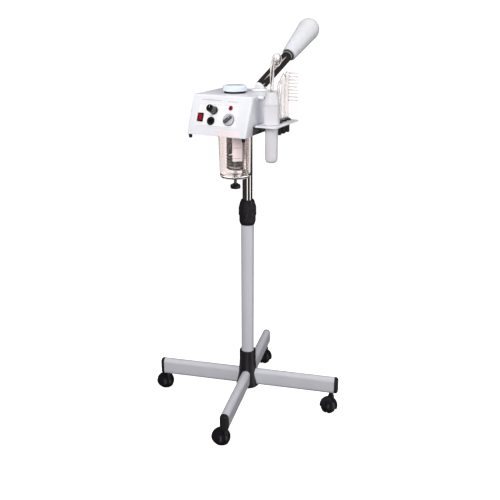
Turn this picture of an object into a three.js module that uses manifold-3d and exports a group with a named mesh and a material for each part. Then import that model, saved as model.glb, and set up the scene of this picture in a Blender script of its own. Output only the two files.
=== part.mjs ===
// Facial steamer on a rolling stand. Millimetres, +Z up. The origin is on the floor under the column's axis,
// the control panel faces -Y, and the shelf with the electrodes is on the +X side.
import * as THREE from 'three';
import { mergeVertices } from 'three/addons/utils/BufferGeometryUtils.js';
import Module from 'manifold-3d';

const wasm = await Module();
wasm.setup();

// ---------------------------------------------------------------- driving dimensions
const GAP = 0.3; // clearance between neighbouring pieces
const WALL = 1.5; // sheet metal and tube walls
const SIDES = 14; // facets of a round piece
const FEW_SIDES = 8; // facets of a small round piece
const CASTER_SIDES = 12; // facets of a caster's hood and wheels
const DEG = Math.PI / 180;

const LEG = { first: 13, count: 4, width: 26, height: 53.4, bottom: 59, inner: 20, outer: 273, capDepth: 11 };
const COLUMN = { radius: 19, wall: 1.8, bottom: 61.3, top: 600.5 };
const HUB = { radius: 25, footRadius: 36, bottom: 56, top: 176 };
const MAST = { radius: 14.5, bottom: 352, top: 900 };
const COLLAR = { bottom: 582, seam: 610, nutTop: 656, radius: 24, nutRadius: 25 };
const CASTER = { stemAt: 264, trail: 18.2, wheelRadius: 25, hood: 28.5, cavity: 26.9, web: 2.8, stem: 5.5, neck: 7 };
const CASTER_HEADINGS = [-91.8, -82.6, 155.7, 166]; // where each caster's wheels trail to, degrees from +X
const LEG_NAMES = ['right', 'back', 'left', 'front'];

const CASE = { bottom: 868.5, top: 967.5, frontFoot: -184, frontTop: -143, back: 22, half: 86, shellHalf: 83 };
const PANEL_TILT = Math.atan2(CASE.top - CASE.bottom, CASE.frontTop - CASE.frontFoot);
const JAR = { x: 3.5, y: -80.6, top: 878, bottom: 740, topRadius: 45.4, footRadius: 42, wall: 2.8 };
const NUT = { radius: 15.3, bottom: 708, top: 722 };
const SHELF = { x0: 86.2, x1: 150, y0: -136, y1: 15, top: 893.5, thickness: 3.5 };
const HANDPIECE = { x: 118, y: -95, bottom: 794, seam: 944, top: 977, lower: 16.8, upper: 20.5, nose: 12.2 };
const ELECTRODES = { x: 120, comb: -3, tongue: -29.5, bent: -56, tube: 5.5, foot: 868, top: 1021 };
const ARM = { x: 42, y: -10, z: 977, azimuth: 78.4, elevation: 30, radius: 14.3, start: 1, length: 149 };
const NOZZLE = {
  elevation: 34, ball: 18.2, ballAt: 163, rim: -9, lip: 16.4, rear: 20.5, front: 32, cone: 105, length: 137.5, wall: 1.9,
};

// ---------------------------------------------------------------- solids
// A geometry as a manifold solid: vertices merged, empty triangles dropped, faces turned outward.
function solid(geometry) {
  const bare = geometry.clone();
  bare.deleteAttribute('normal');
  bare.deleteAttribute('uv');
  const merged = mergeVertices(bare, 1e-3);
  const from = merged.index.array;
  const at = merged.attributes.position.array;
  const corners = [];
  let volume = 0;
  for (let i = 0; i < from.length; i += 3) {
    const [a, b, c] = [from[i], from[i + 1], from[i + 2]];
    if (a === b || b === c || a === c) continue;
    corners.push(a, b, c);
    const [p, q, r] = [a, b, c].map((n) => new THREE.Vector3().fromArray(at, 3 * n));
    volume += p.dot(q.cross(r));
  }
  if (volume < 0) corners.reverse();
  const mesh = new wasm.Mesh({ numProp: 3, vertProperties: at, triVerts: new Uint32Array(corners) });
  return new wasm.Manifold(mesh);
}

function geometryOf(made) {
  const mesh = made.getMesh();
  const geometry = new THREE.BufferGeometry();
  geometry.setAttribute('position', new THREE.BufferAttribute(new Float32Array(mesh.vertProperties), 3));
  geometry.setIndex(new THREE.BufferAttribute(new Uint32Array(mesh.triVerts), 1));
  geometry.computeVertexNormals();
  return geometry;
}

const join = (...parts) => geometryOf(parts.map(solid).reduce((all, next) => all.add(next)));
const cut = (body, ...tools) => geometryOf(tools.map(solid).reduce((left, tool) => left.subtract(tool), solid(body)));
const common = (a, b) => geometryOf(solid(a).intersect(solid(b)));

// A block between two corners.
function block([x0, y0, z0], [x1, y1, z1]) {
  const geometry = new THREE.BoxGeometry(x1 - x0, y1 - y0, z1 - z0);
  return geometry.translate((x0 + x1) / 2, (y0 + y1) / 2, (z0 + z1) / 2);
}

// A profile of [radius, z] points turned about Z. It starts and ends on the axis, or closes on itself.
function turned(profile, sides = SIDES) {
  const points = profile.map(([radius, z]) => new THREE.Vector2(radius, z));
  if (profile[0][0] > 0) points.push(points[0].clone());
  return new THREE.LatheGeometry(points, sides).rotateX(Math.PI / 2);
}

const disc = (radius, z0, z1, sides = SIDES) => turned([[0, z0], [radius, z0], [radius, z1], [0, z1]], sides);

const ring = (outer, inner, z0, z1, sides = SIDES) =>
  turned([[inner, z0], [outer, z0], [outer, z1], [inner, z1]], sides);

// The points of an arc of an ellipse as [radius, z], from angle a0 to a1 in degrees.
function arc(radius, height, z, a0, a1, steps) {
  const points = [];
  for (let i = 0; i <= steps; i++) {
    const a = (a0 + ((a1 - a0) * i) / steps) * DEG;
    points.push([radius * Math.cos(a), z + height * Math.sin(a)]);
  }
  return points;
}

// A flat-oval outline, its long way along Y.
function oval(width, height, steps = 3) {
  const shape = new THREE.Shape();
  const r = width / 2;
  const rise = height / 2 - r;
  shape.absarc(0, rise, r, 0, Math.PI, false);
  shape.absarc(0, -rise, r, Math.PI, 2 * Math.PI, false);
  return new THREE.Shape(shape.getPoints(steps));
}

// A rectangle with rounded corners.
function roundedPlate(x0, y0, x1, y1, r, steps = 3) {
  const shape = new THREE.Shape();
  shape.absarc(x1 - r, y1 - r, r, 0, Math.PI / 2, false);
  shape.absarc(x0 + r, y1 - r, r, Math.PI / 2, Math.PI, false);
  shape.absarc(x0 + r, y0 + r, r, Math.PI, 1.5 * Math.PI, false);
  shape.absarc(x1 - r, y0 + r, r, 1.5 * Math.PI, 2 * Math.PI, false);
  return new THREE.Shape(shape.getPoints(steps));
}

function prism(shape, z0, z1) {
  const geometry = new THREE.ExtrudeGeometry(shape, { depth: z1 - z0, bevelEnabled: false, curveSegments: 6 });
  return geometry.translate(0, 0, z0);
}

// A side outline of [y, z] points, carried across from x0 to x1.
function sideways(outline, x0, x1) {
  const shape = new THREE.Shape(outline.map(([y, z]) => new THREE.Vector2(y, z)));
  const geometry = new THREE.ExtrudeGeometry(shape, { depth: x1 - x0, bevelEnabled: false });
  return geometry.applyMatrix4(new THREE.Matrix4().set(0, 0, 1, x0, 1, 0, 0, 0, 0, 1, 0, 0, 0, 0, 0, 1));
}

// Rings of points with the same count, skinned and closed by a fan at each end.
function loft(rings) {
  const count = rings[0].length;
  const index = [];
  for (let k = 0; k + 1 < rings.length; k++) {
    for (let i = 0; i < count; i++) {
      const a = k * count + i;
      const b = k * count + ((i + 1) % count);
      index.push(a, b, b + count, a, b + count, a + count);
    }
  }
  const last = (rings.length - 1) * count;
  for (let i = 1; i + 1 < count; i++) {
    index.push(0, i + 1, i, last, last + i, last + i + 1);
  }
  const geometry = new THREE.BufferGeometry();
  geometry.setAttribute('position', new THREE.Float32BufferAttribute(rings.flat().flatMap((p) => p.toArray()), 3));
  return geometry.setIndex(index);
}

// A round tube or rod along a curve.
function sweep(points, radius, sides, steps, bore = 0) {
  const outline = (r) => Array.from({ length: sides }, (_, i) => {
    const a = (2 * Math.PI * i) / sides;
    return new THREE.Vector2(r * Math.cos(a), r * Math.sin(a));
  });
  const section = new THREE.Shape(outline(radius));
  if (bore > 0) section.holes.push(new THREE.Path(outline(bore).reverse()));
  const path = new THREE.CatmullRomCurve3(points.map((p) => new THREE.Vector3(...p)));
  return new THREE.ExtrudeGeometry(section, { steps, bevelEnabled: false, extrudePath: path });
}

// A straight rod from one point to another.
function rod(from, to, radius, sides = FEW_SIDES) {
  const [a, b] = [new THREE.Vector3(...from), new THREE.Vector3(...to)];
  const way = b.clone().sub(a);
  const turn = new THREE.Quaternion().setFromUnitVectors(new THREE.Vector3(0, 0, 1), way.clone().normalize());
  return disc(radius, 0, way.length(), sides).applyQuaternion(turn).translate(a.x, a.y, a.z);
}

// ---------------------------------------------------------------- materials and scene graph
function material(color, roughness, metalness = 0, opacity = 1) {
  return new THREE.MeshStandardMaterial({ color, roughness, metalness, opacity, transparent: opacity < 1 });
}

const PAINT = material(0xc4c8d6, 0.4);
const CASE_WHITE = material(0xf0f2f8, 0.35);
const WHITE_PLASTIC = material(0xf2f2f4, 0.4);
const BLACK_PLASTIC = material(0x1c1a1c, 0.45);
const GREY_PLASTIC = material(0x55565c, 0.5);
const RUBBER = material(0x18181a, 0.8);
const CHROME = material(0xd8d8dc, 0.08, 1);
const STEEL = material(0xb0b0b4, 0.3, 1);
const GLASS = material(0xe8e0de, 0.05, 0, 0.35);
const RED = material(0xb01020, 0.25);

const steamer = new THREE.Group();

function add(parent, name, geometry, finish) {
  const mesh = new THREE.Mesh(geometry, finish);
  mesh.name = name;
  parent.add(mesh);
  return mesh;
}

function group(parent, x = 0, y = 0, z = 0) {
  const made = new THREE.Group();
  made.position.set(x, y, z);
  parent.add(made);
  return made;
}

// ---------------------------------------------------------------- stand
const LEG_MIDDLE = LEG.bottom + LEG.height / 2;
const legAngle = (i) => (LEG.first + (360 / LEG.count) * i) * DEG;

// A flat-oval bar lying along +X at the legs' height.
function legBar(width, height, from, to) {
  const bar = prism(oval(width, height), from, to);
  return bar.applyMatrix4(new THREE.Matrix4().set(0, 0, 1, 0, 1, 0, 0, 0, 0, 1, 0, LEG_MIDDLE, 0, 0, 0, 1));
}

function hub() {
  const body = turned([
    [0, HUB.bottom], [HUB.footRadius, HUB.bottom], [HUB.footRadius, HUB.bottom + 8], [30, 88],
    [HUB.radius + 1, 120], [HUB.radius, 140], [HUB.radius, HUB.top], [0, HUB.top],
  ]);
  const bore = disc(COLUMN.radius + GAP, COLUMN.bottom - GAP, HUB.top + 1);
  const pockets = LEG_NAMES.map((_, i) =>
    legBar(LEG.width + 2 * GAP, LEG.height + 2 * GAP, LEG.inner - GAP, 60).rotateZ(legAngle(i)));
  return cut(body, bore, ...pockets);
}

function legTube() {
  const bore = legBar(LEG.width - 2 * WALL, LEG.height - 2 * WALL, LEG.inner - 1, LEG.outer + 1);
  const stemHole = disc(CASTER.neck, LEG.bottom - 1, LEG.bottom + 6, FEW_SIDES).translate(CASTER.stemAt, 0, 0);
  return cut(legBar(LEG.width, LEG.height, LEG.inner, LEG.outer), bore, stemHole);
}

// The end cap: a domed cover on the tube's end and a plug inside it that holds the caster's stem.
function legCap() {
  const plugGap = 2 * (WALL + GAP);
  const start = LEG.outer + GAP;
  const plug = legBar(LEG.width - plugGap, LEG.height - plugGap, LEG.outer - 30, start + 1);
  const cover = legBar(LEG.width, LEG.height, start, start + LEG.capDepth - 4);
  const nose = legBar(LEG.width - 5, LEG.height - 5, start, start + LEG.capDepth);
  const socket = disc(CASTER.stem + 0.7, LEG.bottom, 92, FEW_SIDES).translate(CASTER.stemAt, 0, 0);
  return cut(join(plug, cover, nose), socket);
}

// One caster in its own frame: the stem's axis at the origin, the wheels trailing along +X.
function casterHood() {
  const at = [CASTER.trail, 0, CASTER.wheelRadius];
  const ball = new THREE.SphereGeometry(CASTER.hood, 14, 8).rotateX(Math.PI / 2).translate(...at);
  const tilt = 24 * DEG;
  const below = block([-90, -60, -80], [90, 60, -6]).rotateY(-tilt).translate(...at);
  const web = disc(CASTER.wheelRadius - 3, -CASTER.web, CASTER.web, CASTER_SIDES).rotateX(Math.PI / 2).translate(...at);
  const cavities = [1, -1].map((side) => {
    const r = CASTER.cavity;
    const side0 = CASTER.web + 0.1;
    const a0 = Math.asin(side0 / r) / DEG;
    const half = turned([[0, side0], ...arc(r, r, 0, a0, 74, 4), [0, r]], CASTER_SIDES);
    return half.rotateX((-side * Math.PI) / 2).translate(...at);
  });
  const neck = disc(CASTER.neck, CASTER.wheelRadius + 22, LEG.bottom - GAP, FEW_SIDES);
  const stem = disc(CASTER.stem, LEG.bottom - 1, 90, FEW_SIDES);
  const boss = common(join(disc(11, 30, 50, FEW_SIDES), block([0, -6, 34], [14, 6, 50])), ball);
  const axleHole = disc(3.6, -20, 20, FEW_SIDES).rotateX(Math.PI / 2).translate(...at);
  return cut(join(cut(ball, below), web, boss, neck, stem), ...cavities, axleHole);
}

function casterWheels() {
  const inner = CASTER.web + 0.7;
  const profile = [
    [3.2, 0], [3.2, inner], [CASTER.wheelRadius, inner], [CASTER.wheelRadius, 5], [20, 15], [0, 21],
  ];
  const half = turned([[0, 0], ...profile], CASTER_SIDES);
  const other = half.clone().applyMatrix4(new THREE.Matrix4().makeScale(1, 1, -1));
  const pair = join(half, other);
  return pair.rotateX(Math.PI / 2).translate(CASTER.trail, 0, CASTER.wheelRadius);
}

add(steamer, 'base_hub', hub(), BLACK_PLASTIC);
LEG_NAMES.forEach((name, i) => {
  const leg = group(steamer);
  leg.rotation.z = legAngle(i);
  add(leg, `leg_${name}`, legTube(), PAINT);
  add(leg, `leg_cap_${name}`, legCap(), BLACK_PLASTIC);
  const caster = group(steamer, CASTER.stemAt * Math.cos(legAngle(i)), CASTER.stemAt * Math.sin(legAngle(i)));
  caster.rotation.z = CASTER_HEADINGS[i] * DEG;
  add(caster, `caster_hood_${name}`, casterHood(), BLACK_PLASTIC);
  add(caster, `caster_wheels_${name}`, casterWheels(), RUBBER);
});
add(steamer, 'lower_column', ring(COLUMN.radius, COLUMN.radius - COLUMN.wall, COLUMN.bottom, COLUMN.top), PAINT);

const MAST_BORE = MAST.radius + 0.5;
const SPIGOT = { radius: 20, top: 630, bore: 20.8 };
const collarBody = turned([
  [COLUMN.radius + GAP, COLLAR.bottom], [COLUMN.radius + 1.5, COLLAR.bottom], [COLLAR.radius, COLLAR.bottom + 10],
  [COLLAR.radius, COLLAR.seam - GAP], [SPIGOT.radius, COLLAR.seam - GAP], [SPIGOT.radius, SPIGOT.top],
  [MAST_BORE, SPIGOT.top], [MAST_BORE, COLUMN.top + GAP], [COLUMN.radius + GAP, COLUMN.top + GAP],
]);
add(steamer, 'lock_collar', collarBody, BLACK_PLASTIC);
const bushRadius = COLUMN.radius - COLUMN.wall - GAP;
add(steamer, 'guide_bush', ring(bushRadius, MAST_BORE, COLUMN.top - 45, COLUMN.top), WHITE_PLASTIC);

function lockNut() {
  const shell = turned([
    [SPIGOT.bore, COLLAR.seam], [COLLAR.nutRadius + 1, COLLAR.seam], [COLLAR.nutRadius + 1, 619],
    [COLLAR.nutRadius, 620], [COLLAR.nutRadius, 636], [18.8, COLLAR.nutTop], [MAST_BORE, COLLAR.nutTop],
    [MAST_BORE, SPIGOT.top + 1], [SPIGOT.bore, SPIGOT.top + 1],
  ]);
  const ribs = Array.from({ length: 8 }, (_, i) =>
    block([COLLAR.nutRadius - 2, -2, 620], [COLLAR.nutRadius + 1, 2, 634]).rotateZ((i * Math.PI) / 4));
  return join(shell, ...ribs);
}
add(steamer, 'lock_nut', lockNut(), BLACK_PLASTIC);
add(steamer, 'mast_tube', ring(MAST.radius, MAST.radius - WALL, MAST.bottom, MAST.top), CHROME);

// ---------------------------------------------------------------- head: casing
// The control panel's own frame: x across, y up the slope from its foot, z out of the panel.
const panelMatrix = new THREE.Matrix4()
  .makeTranslation(0, CASE.frontFoot, CASE.bottom)
  .multiply(new THREE.Matrix4().makeRotationX(PANEL_TILT));
const upSlope = (z) => (z - CASE.bottom) / Math.sin(PANEL_TILT);

const PLATE = { x0: -65, x1: 58, low: upSlope(889), high: upSlope(946), thickness: 0.8 };
const ROCKER = { x: -51.4, y: upSlope(910.9), width: 17, height: 23, hole: [13, 19] };
const TALL_KNOB = { x: -14.6, y: upSlope(929), radius: 10, length: 30 };
const LEAD_SOCKET = { x: -19.2, y: upSlope(903.6), radius: 11, bore: 4.5 };
const LAMP = { x: 32.3, y: upSlope(937.3), radius: 6 };
const SELECTOR = { x: 31.9, y: upSlope(909.3), radius: 15 };

// Holes for the controls through a thickness of the panel, in the panel's frame.
function controlHoles(z0, z1) {
  const round = (control, radius) => disc(radius, z0, z1, FEW_SIDES).translate(control.x, control.y, 0);
  const [w, h] = ROCKER.hole.map((size) => size / 2 + GAP);
  return [
    block([ROCKER.x - w, ROCKER.y - h, z0], [ROCKER.x + w, ROCKER.y + h, z1]),
    round(TALL_KNOB, 3.8), round(SELECTOR, 3.8), round(LEAD_SOCKET, 8.5), round(LAMP, 5.2),
  ];
}

function frontCover() {
  const { bottom, top, frontFoot, frontTop, half } = CASE;
  const outer = sideways([[frontFoot, bottom], [-142, bottom], [-129, top], [frontTop, top]], -half, half);
  const slope = (top - bottom) / (frontTop - frontFoot);
  const foot = frontFoot + WALL / Math.sin(PANEL_TILT);
  const yAt = (z) => foot + (z - bottom) / slope;
  const inside = [[yAt(bottom - 9), bottom - 9], [-100, bottom - 9], [-100, top - WALL], [yAt(top - WALL), top - WALL]];
  const hollow = sideways(inside, WALL - half, half - WALL);
  return cut(outer, hollow, ...controlHoles(-5, 3).map((hole) => hole.applyMatrix4(panelMatrix)));
}

function housingShell() {
  const { bottom, top, back, shellHalf } = CASE;
  const gap = 0.4;
  const outer = common(
    sideways([[gap - 142, bottom], [back, bottom], [back, top], [gap - 129, top]], -shellHalf, shellHalf),
    prism(roundedPlate(-shellHalf, -200, shellHalf, back, 6), bottom, top));
  const inner = prism(roundedPlate(WALL - shellHalf, -220, shellHalf - WALL, back - WALL, 4.5), bottom - 5, top - WALL);
  const neck = disc(27, top - 5, top + 1).translate(JAR.x, JAR.y, 0);
  const armHole = disc(12, top - 5, top + 1, FEW_SIDES).translate(ARM.x, ARM.y, 0);
  const inlet = block([-54, back - 5, 905], [-26, back + 5, 925]);
  return cut(outer, inner, neck, armHole, inlet);
}

function basePan() {
  const plate = prism(roundedPlate(-81, -181, 81, 20, 5), 869, 870.5);
  return cut(plate, disc(47.5, 860, 880).translate(JAR.x, JAR.y, 0), disc(MAST_BORE + 0.6, 860, 880));
}

function mastSocket() {
  return turned([
    [MAST_BORE, 870.9], [20, 870.9], [20, 875.9], [18, 875.9], [18, MAST.top + 8],
    [8, MAST.top + 8], [8, MAST.top + 5], [MAST_BORE, MAST.top + 5],
  ]);
}

add(steamer, 'housing_shell', housingShell(), CASE_WHITE);
add(steamer, 'front_cover', frontCover(), CASE_WHITE);
add(steamer, 'base_pan', basePan(), CASE_WHITE);
add(steamer, 'mast_socket', mastSocket(), STEEL);
const inletBody = cut(
  join(block([-53.7, 8, 905.3], [-26.3, 24, 924.7]), block([-58, 22.3, 901], [-22, 25, 929])),
  block([-51, 11, 908], [-29, 30, 922]));
add(steamer, 'mains_inlet', inletBody, BLACK_PLASTIC);

// ---------------------------------------------------------------- head: controls on the panel
const panel = new THREE.Group();
panel.applyMatrix4(panelMatrix);
steamer.add(panel);
const FACE = PLATE.thickness + 2 * GAP; // where the controls sit, out from the panel

const plateShape = roundedPlate(PLATE.x0, PLATE.low, PLATE.x1, PLATE.high, 3);
add(panel, 'control_plate', cut(prism(plateShape, GAP, GAP + PLATE.thickness), ...controlHoles(-5, 3)), CASE_WHITE);

function rockerBezel() {
  const { x, y, width, height, hole } = ROCKER;
  const [w, h] = hole.map((size) => size / 2);
  const flange = block([x - width / 2, y - height / 2, FACE], [x + width / 2, y + height / 2, FACE + 2.2]);
  const box = block([x - w, y - h, -18], [x + w, y + h, FACE + 1]);
  return cut(join(flange, box), block([x - w + 1.5, y - h + 1.5, -8], [x + w - 1.5, y + h - 1.5, 9]));
}

// The rocker's section along the slope: two flats that meet at the middle, one of them pressed in.
function rockerSwitch() {
  const [w, h] = [ROCKER.hole[0] / 2 - 1.5 - GAP, ROCKER.hole[1] / 2 - 1.5 - 2 * GAP];
  const outline = [[-h + 1.5, -4], [h - 1.5, -4], [h, FACE + 3.4], [0, FACE + 1.4], [-h, FACE + 1.0]];
  return sideways(outline, -w, w);
}
add(panel, 'rocker_bezel', rockerBezel(), BLACK_PLASTIC);
add(panel, 'rocker_switch', rockerSwitch(), RED).position.set(ROCKER.x, ROCKER.y, 0);

const tallKnob = join(
  turned([
    [0, FACE], [TALL_KNOB.radius + 1.5, FACE], [TALL_KNOB.radius + 1.5, FACE + 3], [TALL_KNOB.radius, FACE + 4],
    [TALL_KNOB.radius - 0.6, TALL_KNOB.length - 1], [TALL_KNOB.radius - 2, TALL_KNOB.length], [0, TALL_KNOB.length],
  ]),
  disc(3, -10, FACE + 1, FEW_SIDES));
add(panel, 'intensity_knob', tallKnob, BLACK_PLASTIC).position.set(TALL_KNOB.x, TALL_KNOB.y, 0);

const selector = join(
  turned([
    [0, FACE], [SELECTOR.radius, FACE], [SELECTOR.radius, FACE + 3], [SELECTOR.radius - 2, FACE + 5], [0, FACE + 5],
  ]),
  prism(roundedPlate(-4, -13, 4, 13, 2), FACE + 4, FACE + 12).rotateZ(-45 * DEG),
  disc(3, -10, FACE + 1, FEW_SIDES));
add(panel, 'selector_knob', selector, GREY_PLASTIC).position.set(SELECTOR.x, SELECTOR.y, 0);

const leadSocket = turned([
  [0, -10], [7.6, -10], [7.6, FACE], [LEAD_SOCKET.radius, FACE], [LEAD_SOCKET.radius, FACE + 1.6],
  [LEAD_SOCKET.radius - 1, FACE + 2.6], [LEAD_SOCKET.bore, FACE + 2.6], [LEAD_SOCKET.bore, -7], [0, -7],
]);
add(panel, 'lead_socket', leadSocket, BLACK_PLASTIC).position.set(LEAD_SOCKET.x, LEAD_SOCKET.y, 0);

const jewel = turned([[0, -9], [4.5, -9], [4.5, FACE], [LAMP.radius, FACE], ...arc(LAMP.radius, 4, FACE + 1, 0, 90, 3)]);
add(panel, 'indicator_lamp', jewel, RED).position.set(LAMP.x, LAMP.y, 0);

// ---------------------------------------------------------------- head: boiler and jar
const boiler = group(steamer, JAR.x, JAR.y, 0);
const GASKET = { bottom: JAR.top + GAP, top: JAR.top + 3.7 };
const TIE_ROD = { radius: 4.5, bottom: 710, barLow: 889, barHigh: 895 };
const COIL = { radius: 21, tube: 3.2, low: 764, turns: 4, pitch: 9 };
const SLEEVE = { x: 18, radius: 8, bottom: 802, top: 896 };

add(boiler, 'boiler_head', turned([
  [41.5, 882], [47, 882], [47, 885], [44.5, 885], [44.5, 930], [38, 940], [26, 944], [26, 966.9],
  [23.5, 966.9], [23.5, 942], [36.5, 937], [41.5, 929],
]), STEEL);
add(boiler, 'jar_gasket', ring(46, 39.5, GASKET.bottom, GASKET.top), RUBBER);
const jarBore = JAR.topRadius - JAR.wall;
add(boiler, 'glass_jar', turned([
  [5.2, JAR.bottom], [JAR.footRadius - 6, JAR.bottom], [JAR.footRadius - 1.5, JAR.bottom + 2],
  [JAR.footRadius, JAR.bottom + 7], [JAR.topRadius, JAR.top], [jarBore, JAR.top],
  [JAR.footRadius - JAR.wall, JAR.bottom + 9], [JAR.footRadius - JAR.wall - 4, JAR.bottom + 5], [5.2, JAR.bottom + 5],
], 18), GLASS);
const crossbar = block([-4, -40.5, TIE_ROD.barLow], [4, 40.5, TIE_ROD.barHigh]);
add(boiler, 'tie_rod', join(disc(TIE_ROD.radius, TIE_ROD.bottom, TIE_ROD.barHigh, FEW_SIDES), crossbar), STEEL);

function jarNut() {
  const lobes = new THREE.Shape();
  const count = 6;
  const steps = 24;
  for (let i = 0; i < steps; i++) {
    const a = (2 * Math.PI * i) / steps;
    const r = NUT.radius - 1.6 + 1.6 * Math.cos(count * a);
    lobes[i ? 'lineTo' : 'moveTo'](r * Math.cos(a), r * Math.sin(a));
  }
  return cut(prism(lobes, NUT.bottom, NUT.top), disc(TIE_ROD.radius + 0.7, NUT.bottom - 1, NUT.top + 1, FEW_SIDES));
}
add(boiler, 'jar_nut', jarNut(), BLACK_PLASTIC);

// The heater: a coil low in the jar, hung from two thick sleeves that go up into the boiler head.
function heater() {
  const perTurn = 10;
  const rise = COIL.pitch * COIL.turns;
  const total = Math.round((COIL.turns + 0.5) * perTurn);
  const points = Array.from({ length: total + 1 }, (_, i) => {
    const a = Math.PI + (2 * Math.PI * i) / perTurn;
    return [COIL.radius * Math.cos(a), COIL.radius * Math.sin(a), COIL.low + rise * (1 - i / total)];
  });
  const coil = sweep(points, COIL.tube, 5, total);
  const sleeves = [-1, 1].map((side) =>
    disc(SLEEVE.radius, SLEEVE.bottom, SLEEVE.top, FEW_SIDES).translate(side * SLEEVE.x, 0, 0));
  const [left, right] = [points[0], points[total]].map(([x, y, z]) =>
    rod([x * 0.92, y, z - 1], [x * 0.92, y, SLEEVE.bottom + 4], COIL.tube, 6));
  return join(coil, ...sleeves, left, right);
}
add(boiler, 'heater_coil', heater(), STEEL);

add(boiler, 'cap_gasket', ring(29, 22.3, 967.8, 972.5), RUBBER);
add(boiler, 'filler_cap', turned([
  [0, 956], [20.5, 956], [21.3, 958], [21.3, 972.8], [31, 972.8], [32.3, 974.5], [32.3, 983],
  [30.5, 986.3], [27, 988], [0, 988],
], 18), WHITE_PLASTIC);

// ---------------------------------------------------------------- head: inside the casing
const boilerSide = Math.atan2(ARM.y - JAR.y, ARM.x - JAR.x);
const pipeStart = 46;
add(steamer, 'steam_pipe', sweep([
  [JAR.x + pipeStart * Math.cos(boilerSide), JAR.y + pipeStart * Math.sin(boilerSide), 915],
  [ARM.x - 10, ARM.y - 18, 917], [ARM.x, ARM.y - 5, 927], [ARM.x, ARM.y, 942], [ARM.x, ARM.y, 966],
], 6, 8, 8, 4), STEEL);
add(steamer, 'hf_generator', join(
  block([-78, -110, 871], [-52, -35, 915]), disc(10, 914, 935, FEW_SIDES).translate(-65, -72, 0)), GREY_PLASTIC);

// ---------------------------------------------------------------- right side: shelf, cradle and sockets
const SHELF_BOTTOM = SHELF.top - SHELF.thickness;
const socketPlaces = [ELECTRODES.bent, ELECTRODES.tongue, ELECTRODES.comb];
const SOCKET = { radius: 8.3, rim: 11.2, bottom: 861, top: SHELF.top + 4.3, bore: 5.9 };

function shelf() {
  const plate = prism(roundedPlate(SHELF.x0, SHELF.y0, SHELF.x1, SHELF.y1, 9), SHELF_BOTTOM, SHELF.top);
  const hole = (r, x, y) => disc(r, SHELF_BOTTOM - 1, SHELF.top + 1).translate(x, y, 0);
  const sockets = socketPlaces.map((y) => hole(SOCKET.radius + GAP, ELECTRODES.x, y));
  return cut(plate, hole(HANDPIECE.lower + 0.7, HANDPIECE.x, HANDPIECE.y), ...sockets);
}
add(steamer, 'shelf', shelf(), CASE_WHITE);
const bracketTop = SHELF_BOTTOM - GAP;
add(steamer, 'shelf_bracket', join(
  block([CASE.shellHalf + GAP, -138, CASE.bottom], [85, 15, bracketTop]),
  block([CASE.shellHalf + GAP, -130, bracketTop - 2], [98, 15, bracketTop])), GREY_PLASTIC);
const cradle = cut(
  block([CASE.shellHalf + GAP, -104, 958], [107, -78, 966]),
  disc(HANDPIECE.upper + 0.6, 950, 970).translate(HANDPIECE.x, HANDPIECE.y, 0));
add(steamer, 'handpiece_cradle', cradle, WHITE_PLASTIC);
socketPlaces.forEach((y, i) => {
  const socket = turned([
    [0, SOCKET.bottom], [SOCKET.radius, SOCKET.bottom], [SOCKET.radius, SHELF.top + GAP],
    [SOCKET.rim, SHELF.top + GAP], [SOCKET.rim, SOCKET.top], [SOCKET.bore, SOCKET.top],
    [SOCKET.bore, ELECTRODES.foot - GAP], [0, ELECTRODES.foot - GAP],
  ]);
  add(group(steamer, ELECTRODES.x, y, 0), `electrode_socket_${i + 1}`, socket, BLACK_PLASTIC);
});

// ---------------------------------------------------------------- handpiece and electrodes
const hand = group(steamer, HANDPIECE.x, HANDPIECE.y, 0);
const seat = SHELF.top + GAP;
add(hand, 'handpiece_body', turned([
  [0, HANDPIECE.bottom], [HANDPIECE.lower - 5, HANDPIECE.bottom + 1], [HANDPIECE.lower - 1.2, HANDPIECE.bottom + 5],
  [HANDPIECE.lower, HANDPIECE.bottom + 10], [HANDPIECE.lower, seat], [HANDPIECE.upper, seat],
  [HANDPIECE.upper, HANDPIECE.seam - GAP], [HANDPIECE.upper - 5, HANDPIECE.seam - GAP],
  [HANDPIECE.upper - 5, seat + 4], [HANDPIECE.lower - 3, seat], [HANDPIECE.lower - 3, HANDPIECE.bottom + 12],
  [0, HANDPIECE.bottom + 12],
]), WHITE_PLASTIC);
const NOSE_BORE = { radius: 5.7, bottom: 952 };
add(hand, 'handpiece_nose', turned([
  [0, HANDPIECE.seam], [HANDPIECE.upper, HANDPIECE.seam], [HANDPIECE.nose + 1.2, HANDPIECE.top - 3],
  [HANDPIECE.nose - 1.5, HANDPIECE.top], [NOSE_BORE.radius, HANDPIECE.top], [NOSE_BORE.radius, NOSE_BORE.bottom],
  [0, NOSE_BORE.bottom],
]), WHITE_PLASTIC);

const MUSHROOM = { x: 14.5, z: 1057, radius: 17, thickness: 10 };
function mushroom() {
  const face = new THREE.Vector3(0.94, -0.31, 0).normalize();
  const head = turned([
    [0, -5], [10, -4.6], [15, -2.6], [MUSHROOM.radius, 0], [15, 2.6], [10, 4.6], [0, 5],
  ], 14);
  head.applyQuaternion(new THREE.Quaternion().setFromUnitVectors(new THREE.Vector3(0, 0, 1), face));
  head.translate(MUSHROOM.x, -MUSHROOM.x * 0.33, MUSHROOM.z);
  const stem = sweep([
    [0, 0, NOSE_BORE.bottom + 0.5], [0, 0, 1000], [0, 0, 1040], [2.5, -1, 1051], [MUSHROOM.x - 2, -4, MUSHROOM.z],
  ], 5.2, 8, 10);
  return join(stem, head);
}
add(hand, 'mushroom_electrode', mushroom(), GLASS);

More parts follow.
